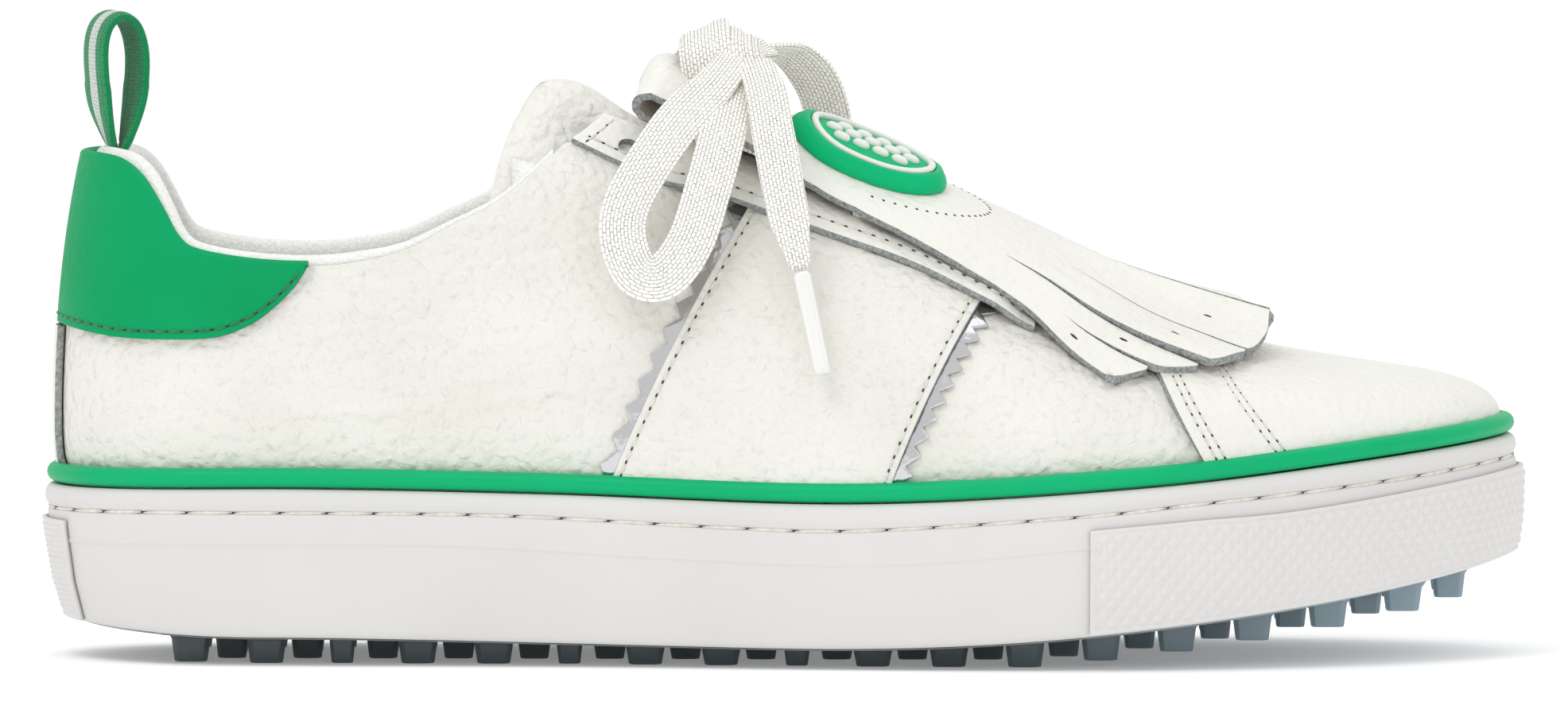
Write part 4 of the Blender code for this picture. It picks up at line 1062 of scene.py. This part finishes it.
def make_collar():
    """The padded collar: a roll over the topline, then down the inside of the heel."""
    reach = arc_at("lateral", COLLAR_FRONT)
    back = WHOLE - arc_at("medial", COLLAR_FRONT)
    arc = np.concatenate([np.linspace(-back, 0, 130)[:-1], np.linspace(0, reach, 130)])
    x = outline_at(arc)[:, 0]
    top = np.where(x < 100, topline_z(x), 0) - 1.2 - 0.9 * np.clip((x - 60) / 20, 0, 1)
    rim, away = offset_last(arc, top, np.full(len(arc), -1.35))
    away = unit(away * np.array([1, 1, 0]))
    rows = []
    for angle in np.linspace(-0.2, math.pi, ROLL_STEPS):
        rows.append(rim - away * 2.3 * (1 - math.cos(angle)) + [0, 0, 2.9 * math.sin(angle)])
    depth = np.linspace(0, 1, 56)[1:]
    floor = feather_z(x) - 8.5
    inner = rows[-1]
    for t in depth:
        z = inner[:, 2] + (floor - inner[:, 2]) * t
        pad = 1.1 * math.exp(-((t - 0.16) / 0.16) ** 2)
        at, _ = offset_last(arc, np.maximum(z, 28.0), np.full(len(arc), -5.4 - pad))
        ease = min(t / 0.12, 1.0)
        rows.append(np.column_stack([inner[:, :2] * (1 - ease) + at[:, :2] * ease, z]))
    grid = np.stack(rows)
    normals = grid_normals(grid)
    if normals[9, :, 2].sum() < 0:
        normals = -normals
    obj = skin("collar_padding", grid, normals, 1.3, [MESH_LINING], node="collar_lining")


def make_vamp_lining():
    shares = np.sin(np.linspace(0, math.pi / 2, 70))
    thetas = np.linspace(0, math.pi / 2, 44)
    arc, z = over_grid(lambda level: 90.0 + 0 * level, shares, thetas, -8.0)
    grid, normals = offset_last(arc, z, np.full(z.shape, -3.0))
    x = outline_at(arc)[..., 0]
    hole = throat_hole(x, THROAT + 1, 17)
    skin("vamp_mesh_lining", grid, normals, 1.0, [MESH_LINING], hole=hole, weld=True, node="vamp_lining",
         round_edge=0)


def make_tongue():
    share = np.linspace(-1, 1, 71)
    share = np.sign(share) * (1 - (1 - np.abs(share)) ** 1.15)
    end = 97.8 - 14.0 * np.abs(share) ** 1.1
    x = end[None] + (183 - end[None]) * np.linspace(0, 1, 90)[:, None] ** 1.12
    away = np.maximum((22 + 6 * np.clip((106 - x) / 16, 0, 1)) * np.abs(share)[None], 0.6)
    lateral = (share < 0)[None] & (x > 0)
    arc = np.where(lateral, arc_at("lateral", x), arc_at("medial", x))
    z = height_at(arc, away)
    crown = np.clip((13 - away) / 8, 0, 1)
    edge = np.clip(1 - np.abs(share) ** 8, 0, 1)[None] * np.clip((x - end[None]) / 4.0, 0.0, 1) ** 0.5
    thick = 2.2 + 2.4 * edge
    puff = np.exp(-((x - end[None] - 5) / 7) ** 2) * np.clip((20 - away) / 8, 0, 1)
    out = -4.6 + 4.0 * eased_step(crown) - (4.4 - thick) / 2 + 2.2 * puff
    out = out + 0.25 * np.sin(away * 0.8) * np.clip((x - end[None] - 4) / 6, 0, 1) * (away < 13)
    grid, _ = offset_last(arc, z, out)
    normals = grid_normals(grid, centre=(130, 0, 40))
    obj = skin("tongue_padded_leather", grid, normals, thick, [WHITE_LEATHER, WHITE_LEATHER, MESH_LINING],
               node="tongue", round_edge=0.9)


for each in ("lateral", "medial"):
    make_quarter(each)
    make_saddle(each)
    make_eyestay(each)
make_vamp()
make_toe_cap()
make_heel_tab()
make_backstay()
make_collar()
make_vamp_lining()
make_tongue()
upper_seams.make("upper_stitching", [THREAD, NEEDLE_HOLE], slot="toe_cap")


# Kiltie: one folded piece of leather, cut into fingers at the front

KILTIE_LINE = [(121, 116.0), (133, 110.4), (147, 102.6), (160, 97.1), (173.3, 91.4), (191.6, 83.4),
               (210, 76.2), (236, 68.6)]
KILTIE_THICK, KILTIE_HINGE, BEND_HALF, FINGERS, ROLL_RADIUS, UNDERLAP = 1.7, 26.0, 5.0, 8, 4.1, 6.0
KILTIE_MIDDLE = float(ridge_y(130))
kiltie_half = profile([(-40, 18), (18, 18), (40, 21.5), (60, 24.4), (80, 28.9), (97, 37.4), (128, 43.5)])
kiltie_radius = profile([(-40, 28), (25, 28), (40, 30), (60, 35), (80, 41), (97, 47), (128, 52)])
kiltie_tilt = profile([(-40, 0.12), (60, 0.13), (128, 0.22)])
kiltie_settle = profile([(-40, 0), (70, 0), (108, 1), (128, 1)])
kiltie_droop = profile([(0, 0), (0.15, 2.4), (0.33, 3.1), (0.62, 0.6), (0.8, 0), (1, 0)])
FINGER_EDGES = (-1.0, -0.83, -0.67, -0.35, 0.0, 0.35, 0.67, 0.83, 1.0)  # as shares of the flap's half width
CUT_STARTS = (88.0, 73.0, 85.0, 93.0, 85.0, 73.0, 88.0)
LATERAL_CORNERS = ((98.8, 105.6), (106.8, 114.6), (116.4, 122.0), (122.4, 126.2))
LATERAL_LIFTS = ((0.1, 0.0), (0.7, 0.1), (1.6, 0.3), (0.3, 0.3))
FINGER_CORNERS, FINGER_LIFTS = ([*half, *(pair[::-1] for pair in half[::-1])]
                                for half in (LATERAL_CORNERS, LATERAL_LIFTS))
CUT_GAPS = (0.6, 1.2, 0.6, 1.4, 0.6, 1.2, 0.6)
LINE_POINTS = smooth_curve(KILTIE_LINE)
LINE_REACH = reach_along(LINE_POINTS)


def kiltie_frame(s):
    """The place, the way along and the way up, in x and z, at s along the kiltie's middle line."""
    s = np.asarray(s, float)

    def at(value):
        value = np.clip(value, 0, LINE_REACH[-1])
        return np.stack([np.interp(value, LINE_REACH, LINE_POINTS[:, k]) for k in (0, 1)], -1)

    along = unit(at(s + 2) - at(s - 2))
    return at(s), along, np.stack([-along[..., 1], along[..., 0]], -1)


def kiltie_point(s, share, out=0.0):
    """Points at s along the kiltie and share (-1 to 1) across it, out millimetres above its grain side."""
    s, share, out = np.broadcast_arrays(*(np.asarray(value, float) for value in (s, share, out)))
    at, _, up = kiltie_frame(s)
    radius = kiltie_radius(s)
    angle = share * kiltie_half(s) / radius - kiltie_tilt(s)
    radial = radius + out
    plan = at + up * (radial * np.cos(angle) - radius)[..., None]
    droop = kiltie_settle(s) * kiltie_droop(np.abs(share))
    return np.stack([plan[..., 0], KILTIE_MIDDLE + radial * np.sin(angle), plan[..., 1] - droop], -1)


def make_kiltie():
    per_finger, under_rows, roll_rows, solid_rows, finger_rows = 10, 5, 20, 46, 34
    shares, cuts, ends, lifts, gaps = [], [], [], [], []
    starts = (CUT_STARTS[0] + 12,) + CUT_STARTS + (CUT_STARTS[-1] + 12,)
    for finger in range(FINGERS):
        for t in np.linspace(0, 1, per_finger):
            shares.append(FINGER_EDGES[finger] * (1 - t) + FINGER_EDGES[finger + 1] * t)
            cuts.append(starts[finger] * (1 - t) + starts[finger + 1] * t)
            low, high = FINGER_CORNERS[finger]
            ends.append(low + (high - low) * t - 0.9 * (abs(2 * t - 1) ** 6))
            low, high = FINGER_LIFTS[finger]
            lifts.append(low + (high - low) * t)
            left = CUT_GAPS[finger - 1] / 2 if finger else 0
            right = CUT_GAPS[finger] / 2 if finger < FINGERS - 1 else 0
            gaps.append(left * (1 - t) - right * t)
    shares, cuts, ends, lifts, gaps = map(np.array, (shares, cuts, ends, lifts, gaps))
    rows = []
    at, along, up = kiltie_frame(0.0)

    def folded(s, spot):
        base, forward, normal = kiltie_frame(s)
        away = spot - base
        shift = (away @ forward) * forward
        points = kiltie_point(s, shares, away @ normal)
        return points + np.array([shift[0], 0, shift[1]])

    for s in np.linspace(UNDERLAP, 1.5, under_rows):
        spot, _, normal = kiltie_frame(s)
        rows.append(folded(s, spot - normal * (2 * ROLL_RADIUS + 0.2)))
    centre = at - up * ROLL_RADIUS
    for angle in np.linspace(math.pi * 0.97, math.pi * 0.03, roll_rows):
        rows.append(folded(0.0, centre + (up * math.cos(angle) - along * math.sin(angle)) * ROLL_RADIUS))
    for k in range(1, solid_rows + 1):
        rows.append(kiltie_point(cuts * k / solid_rows, shares))
    for k in range(1, finger_rows + 1):
        p = k / finger_rows
        s = cuts + (ends - cuts) * p
        rows.append(kiltie_point(s, shares + gaps * p**0.7 / kiltie_half(s), lifts * p**1.3 + 0.25 * p**3))
    grid = np.stack(rows)
    normals = grid_normals(grid)
    if normals[60, :, 2].sum() < 0:
        normals = -normals
    firsts = np.arange(FINGERS) * per_finger
    for first in firsts:
        for j, inner in ((first, first + 1), (first + per_finger - 1, first + per_finger - 2)):
            normals[:, j] = normals[:, inner]
    solid = under_rows + roll_rows + solid_rows
    for first in firsts[1:]:
        both = unit(normals[:solid, first - 1] + normals[:solid, first])
        normals[:solid, first - 1] = normals[:solid, first] = both
    ripple = 0.10 * np.sin(shares * 31)[None] * np.sin(np.arange(finger_rows) * 0.33)[:, None]
    grid[solid:] += normals[solid:] * ripple[..., None]
    place = np.arange(len(grid))
    wave = np.abs(0.22 * np.sin(place * 0.9) + 0.16 * np.sin(place * 2.3 + 1))[:, None]
    for j, inner in ((0, 1), (grid.shape[1] - 1, grid.shape[1] - 2)):
        grid[:, j] += unit(grid[:, inner] - grid[:, j]) * wave
    hole = np.zeros((grid.shape[0] - 1, grid.shape[1] - 1), bool)
    hole[:, firsts[1:] - 1] = True
    obj = skin("kiltie_leather", grid, normals, KILTIE_THICK, [SMOOTH_LEATHER, GREY_EDGE, SUEDE], hole=hole,
               weld=True, body=None, node="kiltie_flap", also=["kiltie_fold"], round_edge=0.18)
    apply_modifiers(obj)
    begin, finish = kiltie_point(KILTIE_HINGE - BEND_HALF, 0.0), kiltie_point(KILTIE_HINGE + BEND_HALF, 0.0)
    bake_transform(obj)
    # Punch marks: thin near-black bodies whose colour is painted shade inside punched holes.
    marks = Bundle()

    def mark(s, share, half, lift=0.0):
        spot = kiltie_point(s, share, lift)
        ahead = unit(kiltie_point(s + 1, share, lift) - spot)
        aside = unit(kiltie_point(s, share + 0.02, lift) - spot)
        marks.take(*seed_body(spot, ahead, aside, unit(np.cross(ahead, aside)), half, sides=8))

    for finger in range(FINGERS):
        share = (FINGER_EDGES[finger] + FINGER_EDGES[finger + 1]) / 2
        low, high = FINGER_CORNERS[finger]
        s = (low + high) / 2 - 11.5
        cut = (starts[finger] + starts[finger + 1]) / 2
        p = (s - cut) / ((low + high) / 2 - cut)
        mark(s, share, (1.0, 0.34, 0.12), np.mean(FINGER_LIFTS[finger]) * p**1.3 + 0.25 * p**3)
    for angle in np.radians(np.concatenate([np.arange(-82, -2, 5.2), np.arange(5, 84, 5.2)])):
        s = BADGE_MIDDLE + 26.0 * math.cos(angle)
        mark(s, (BADGE_ASIDE + 13.5 * math.sin(angle)) / kiltie_half(s), (0.34, 0.26, 0.1))
    marks.make("kiltie_punch_marks", [NEEDLE_HOLE], body=KILTIE, slot="kiltie_flap")


# Badge: a moulded rubber oval with a ring, and plain raised pips instead of any mark

BADGE_MIDDLE, BADGE_ASIDE, BADGE_HALF, BADGE_SIDES = 41.8, -4.2, (16.2, 10.4), 96
BASE_LEVELS = [(0.5, 0.15), (1.0, 0.15), (1.01, 0.4), (1.0, 1.3), (0.975, 2.0), (0.93, 2.75), (0.90, 3.2),
               (0.885, 3.42), (0.865, 3.5), (0.84, 3.5), (0.825, 3.42), (0.81, 3.1), (0.80, 2.75),
               (0.6, 2.75), (0.4, 2.75), (0.2, 2.75)]
PIP_HEIGHT, PIP_HALF = 2.95, (1.7, 1.05, 0.95)
RING_LEVELS = [(0.80, 2.7), (0.80, 3.45), (0.79, 3.75), (0.77, 3.88), (0.745, 3.88), (0.725, 3.75),
               (0.715, 3.45), (0.715, 2.7)]


def badge_body(name, levels, material, node, ring=False):
    """A body of oval rings, each with its scale and height; a ring joins its last ring to its first one."""
    angle = 2 * np.pi * np.arange(BADGE_SIDES) / BADGE_SIDES
    across, along = np.sin(angle), np.cos(angle)
    along = np.sign(along) * np.abs(along) ** 0.92
    across = np.sign(across) * np.abs(across) ** 0.96
    rings = []
    for scale, out in levels:
        s = BADGE_MIDDLE + BADGE_HALF[0] * scale * along
        rings.append(kiltie_point(s, (BADGE_ASIDE + BADGE_HALF[1] * scale * across) / kiltie_half(s), out))
    faces = grid_faces(len(rings) + ring, BADGE_SIDES, wrap=True).reshape(-1, 4) % (len(rings) * BADGE_SIDES)
    faces = faces.tolist() + ([] if ring else end_faces(len(rings), BADGE_SIDES))
    faces = [face[::-1] for face in faces]
    make_piece(name, np.concatenate(rings), faces, [material], body=KILTIE, node=node)


def make_badge():
    badge_body("badge_rubber_base", BASE_LEVELS, BADGE_RUBBER, "badge_base")
    badge_body("badge_rubber_ring", RING_LEVELS, BADGE_WHITE, "badge_ring", ring=True)
    pips = Bundle()
    for row, count in ((-1, 4), (0, 5), (1, 4)):
        for i in range(count):
            s = BADGE_MIDDLE + (i - (count - 1) / 2) * 4.0
            across = BADGE_ASIDE + row * 2.9
            spot, ahead, aside = (kiltie_point(s + forward, (across + sideways) / kiltie_half(s), PIP_HEIGHT)
                                  for forward, sideways in ((0, 0), (1, 0), (0, 0.4)))
            ahead, aside = unit(ahead - spot), unit(aside - spot)
            up = unit(np.cross(ahead, aside))
            pips.take(*seed_body(spot, ahead, aside, up, PIP_HALF, sides=16, rings=11))
    pips.make("badge_plain_pips", [BADGE_WHITE], body=KILTIE, node="badge_emblem")


# Pull loop: folded webbing with a stripe, stitched to the heel tab

LOOP_WIDTH, LOOP_THICK, LOOP_BASE = 12.0, 1.9, (13.4, 98.6)
LOOP_TWIST, LOOP_STRAIGHT = math.radians(20), 12.0
LOOP_LINE = [(12.6, 0.5, 97.4), (9.9, 0.5, 106), (8.9, 0.5, 116), (9.9, 0.5, 121.6), (12.8, 0.5, 123.8),
             (15.8, 0.5, 121.8), (17.3, 0.5, 116), (16.7, 0.5, 107.5), (14.3, 0.5, 97.4)]
END_ROUNDING = 0.6


def ribbon(name, path, facing, width, thick, materials, ribs=0.06, stripe=None, **where):
    """A flat woven strip along a path. facing gives the direction its flat side looks in, at each point."""
    tangent = unit(np.gradient(path, axis=0))
    aside = unit(np.cross(tangent, facing))
    up = unit(np.cross(aside, tangent))
    reach = reach_along(path)
    width, thick = (np.broadcast_to(np.asarray(value, float), len(path)) for value in (width, thick))
    taper = np.clip(np.minimum(reach, reach[-1] - reach) / END_ROUNDING, 0, 1) ** 0.5
    sides = 44
    angle = 2 * np.pi * (np.arange(sides) + 0.5) / sides
    x = np.sign(np.cos(angle)) * np.abs(np.cos(angle)) ** 0.7
    y = np.sign(np.sin(angle)) * np.abs(np.sin(angle)) ** 0.55
    wave = 1 + ribs / 0.5 * np.cos(x[None] * width[:, None] * math.pi / 1.35) * (np.abs(x)[None] < 0.93)
    offset_x = x[None] * (width * (0.75 + 0.25 * taper))[:, None] / 2
    offset_y = y[None] * wave * (thick * (0.25 + 0.75 * taper))[:, None] / 2
    points = path[:, None] + aside[:, None] * offset_x[..., None] + up[:, None] * offset_y[..., None]
    faces = grid_faces(len(path), sides, wrap=True).reshape(-1, 4)
    corner = points.reshape(-1, 3)
    sample = faces[len(faces) // 2 + 3]
    turn = np.cross(corner[sample[1]] - corner[sample[0]], corner[sample[2]] - corner[sample[0]])
    ends = end_faces(len(path), sides)
    if turn @ (corner[sample].mean(axis=0) - path[len(path) // 2]) < 0:
        faces, ends = faces[:, ::-1], [end[::-1] for end in ends]
    slots = np.zeros(len(faces) + len(ends), int)
    if stripe:
        across, over = (offset.ravel()[faces[:, 0]] + offset.ravel()[faces[:, 2]]
                        for offset in (offset_x, offset_y))
        slots[:len(faces)] = (np.abs(across) < stripe) & (over > 0)
    uv = np.stack([np.broadcast_to(reach[:, None], offset_x.shape), offset_x + 50], -1).reshape(-1, 2) / 1000
    return make_piece(name, corner, faces.tolist() + ends, materials, slots, uv=uv, **where)


def dense(knots, step=0.8):
    """Evenly spaced points on a smooth curve through the knots."""
    points = smooth_curve(knots, samples=24)
    reach = reach_along(points)
    spots = np.linspace(0, reach[-1], max(int(reach[-1] / step), 4))
    return np.stack([np.interp(spots, reach, points[:, k]) for k in range(points.shape[1])], -1)


def make_pull_loop():
    path = dense(LOOP_LINE, 0.7)
    outward = unit(path - np.array([13.1, 0.5, 112.0]))
    turn = LOOP_TWIST * np.clip((path[:, 2] - LOOP_BASE[1]) / LOOP_STRAIGHT, 0, 1)
    away, sideways = path[:, 0] - LOOP_BASE[0], outward[:, 0].copy()
    path[:, 0], path[:, 1] = LOOP_BASE[0] + away * np.cos(turn), path[:, 1] + away * np.sin(turn)
    outward[:, 0], outward[:, 1] = sideways * np.cos(turn), sideways * np.sin(turn)
    ribbon("pull_loop_webbing", path, outward, LOOP_WIDTH, LOOP_THICK, [WEBBING, WEB_STRIPE], 0.05, 4.6,
           body=LOOP, node="pull_loop")


# Laces: flat woven lace, the bars under the kiltie, the knot over it, two loops and two tails

LACE_WIDTH, TAIL_WIDTH, LACE_THICK = 9.0, 8.4, 1.3
BARS = EYELETS[1:]
NEAR_BOW = [(133, -12, 116.5), (129, -20.5, 111.8), (120, -30.5, 102.5), (111.5, -38.5, 88),
            (113, -41, 77.5), (118.5, -42, 75.5), (124, -40, 82), (128, -34, 94), (131, -26, 105),
            (133, -14.5, 113)]
FAR_BOW = [(137.5, 11.5, 116.8), (144, 21, 115), (149.5, 29, 107), (151.5, 36.5, 93), (149.5, 40, 80),
           (145, 41.5, 75.5), (140, 40, 82), (136.5, 33, 95), (133, 23, 107), (130, 14, 115)]
NEAR_TAIL = [(136.5, -12.0, 116), (138.5, -22.5, 110.5), (140.3, -30.5, 101), (142.5, -37, 89.5),
             (145.3, -41, 77)]
FAR_TAIL = [(126, 13.5, 117.5), (122, 24, 110.5), (119, 31.5, 101), (116.5, 36.5, 89.5), (115, 39, 77)]
NEAR_TIP = [(145.5, -41.3, 76.3), (149.6, -46.5, 57.3)]
FAR_TIP = [(114.8, 39.3, 76.3), (113.2, 42.5, 57.3)]
KNOT_BANDS = (
    ("lace_knot_wrap", [(127.6, -11.5, 112.2), (126.8, -9.8, 118.0), (126.6, -4.5, 120.6), (126.6, 3.5, 120.6),
                        (126.8, 9.4, 118.0), (127, 12, 113)], 10.4, 1.7),
    ("lace_knot_hump", [(135.5, -12.5, 113.5), (134.6, -10.4, 117.6), (134.4, -5, 119.6), (134.4, 3.5, 119.6),
                        (134.8, 9.5, 117.4), (135, 12, 113)], 7.4, 1.6),
)


def make_bars():
    for number, x in enumerate(BARS, 1):
        share = np.linspace(-1.0, 1.0, 61)
        away = np.maximum(np.abs(share) * (EYELET_REACH + 2.0), 0.6)
        arc = np.where(share < 0, arc_at("lateral", x), arc_at("medial", x))
        climb = np.clip((away - 3) / 7, 0, 1)
        plump = np.clip((away - 11) / 4, 0, 1)
        dive = np.clip((away - EYELET_REACH - 0.4) / 1.6, 0, 1)
        out = 1.3 + (eyestay_out(x) + 0.1) * climb + 0.6 * plump - 1.8 * dive
        path, normals = offset_last(arc, height_at(arc, away), out)
        middle = np.abs(share) < 0.2
        normals[middle] = unit(normals[middle] * [1, 0.3, 1])
        width = 7.4 - 2.4 * plump - 1.5 * dive
        node = f"lace_bar_{number}"
        ribbon(f"{node}_woven", path, normals, width, 1.25 + 1.3 * plump, [LACE_WEAVE], node=node)


def make_bow(name, knots, side, node):
    path = dense(knots, 0.8)
    t = np.linspace(0, 1, len(path))
    hang = np.clip(np.minimum(t, 1 - t) / 0.22, 0, 1)[:, None]
    facing = unit(np.array([0.1, side * 0.55, 0.9]) * (1 - hang) + np.array([0.05, side, 0.22]) * hang)
    width = LACE_WIDTH * (0.74 + 0.26 * np.clip(np.minimum(t, 1 - t) / 0.16, 0, 1))
    obj = ribbon(name, path, facing, width, LACE_THICK, [LACE_WEAVE], node=node)


def make_tail(name, knots, tip, side, node, tip_node):
    path = dense(knots, 0.8)
    t = np.linspace(0, 1, len(path))
    hang = eased_step(t)[:, None]
    facing = unit(np.array([0.1, side * 0.6, 0.85]) * (1 - hang) + np.array([0.0, side, 0.15]) * hang)
    width = np.interp(t, [0, 0.18, 0.5, 0.8, 1], [6.2, 7.8, TAIL_WIDTH, 8.0, 3.6])
    thick = np.interp(t, [0, 0.75, 1], [LACE_THICK, LACE_THICK, 2.4])
    obj = ribbon(name, path, facing, width, thick, [LACE_WEAVE], node=node)
    line = dense(tip, 0.5)
    along, radii = [0, 0.05, 0.1, 0.93, 0.98, 1.0], [1.55, 1.72, 1.66, 1.5, 1.4, 1.15]
    points, faces = tube_mesh(line, np.interp(np.linspace(0, 1, len(line)), along, radii), 20)
    faces = [face[::-1] for face in faces.tolist() + end_faces(len(line), 20)]
    sleeve = make_piece(f"{tip_node}_sleeve", points, faces, [CLEAR_SLEEVE], node=tip_node)


def make_knot():
    """The tied knot: a pleated core, the band that wraps it, and the hump of the second strand."""
    count, rings = 64, 40
    u = np.linspace(0.02, math.pi - 0.02, rings)[:, None]
    v = 2 * np.pi * np.arange(count)[None] / count
    pleat = 1 + 0.04 * np.cos(7 * v) * np.sin(u) + 0.03 * np.cos(3 * v + 1)
    core = np.stack([132.0 + 8.6 * np.sin(u) * np.cos(v) * pleat, 10.5 * np.cos(u) + 0 * v,
                     116.3 + 4.0 * np.sin(u) * np.sin(v) * pleat], -1)
    points = core.reshape(-1, 3)
    faces = grid_faces(rings, count, wrap=True).reshape(-1, 4).tolist() + end_faces(rings, count)
    uv = np.stack(np.broadcast_arrays(u * 10, v * 6 + 50), -1).reshape(-1, 2) / 1000
    make_piece("lace_knot_core", points, faces, [LACE_WEAVE], uv=uv, node="lace_knot")
    for name, knots, width, thick in KNOT_BANDS:
        path = dense(knots, 0.6)
        facing = unit(path - np.array([130.5, 0, 112.0]))
        ribbon(name, path, facing, width, thick, [LACE_WEAVE], ribs=0.16, slot="lace_knot")


make_kiltie()
make_badge()
make_pull_loop()
make_bars()
make_bow("lace_loop_near", NEAR_BOW, -1, "bow_near")
make_bow("lace_loop_far", FAR_BOW, 1, "bow_far")
make_tail("lace_tail_near", NEAR_TAIL, NEAR_TIP, -1, "tail_near", "aglet_near")
make_tail("lace_tail_far", FAR_TAIL, FAR_TIP, 1, "tail_far", "aglet_far")
make_knot()


# Inner pieces that stay as the CAD has them, with their own materials

FOAM = rubber("foam_midsole", (0.70, 0.68, 0.64), (0.62, 0.60, 0.56), 0.9, 0.0001)
BOARD = suede("fibre_board", (0.45, 0.36, 0.26), (0.36, 0.28, 0.20))
STIFFENER = suede("stiffener_sheet", (0.55, 0.52, 0.46), (0.45, 0.42, 0.37))
for node, material in (("eva_midsole", FOAM), ("lasting_board", BOARD), ("heel_counter", STIFFENER),
                       ("toe_puff", STIFFENER)):
    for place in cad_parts[node].material_slots:
        place.material = material
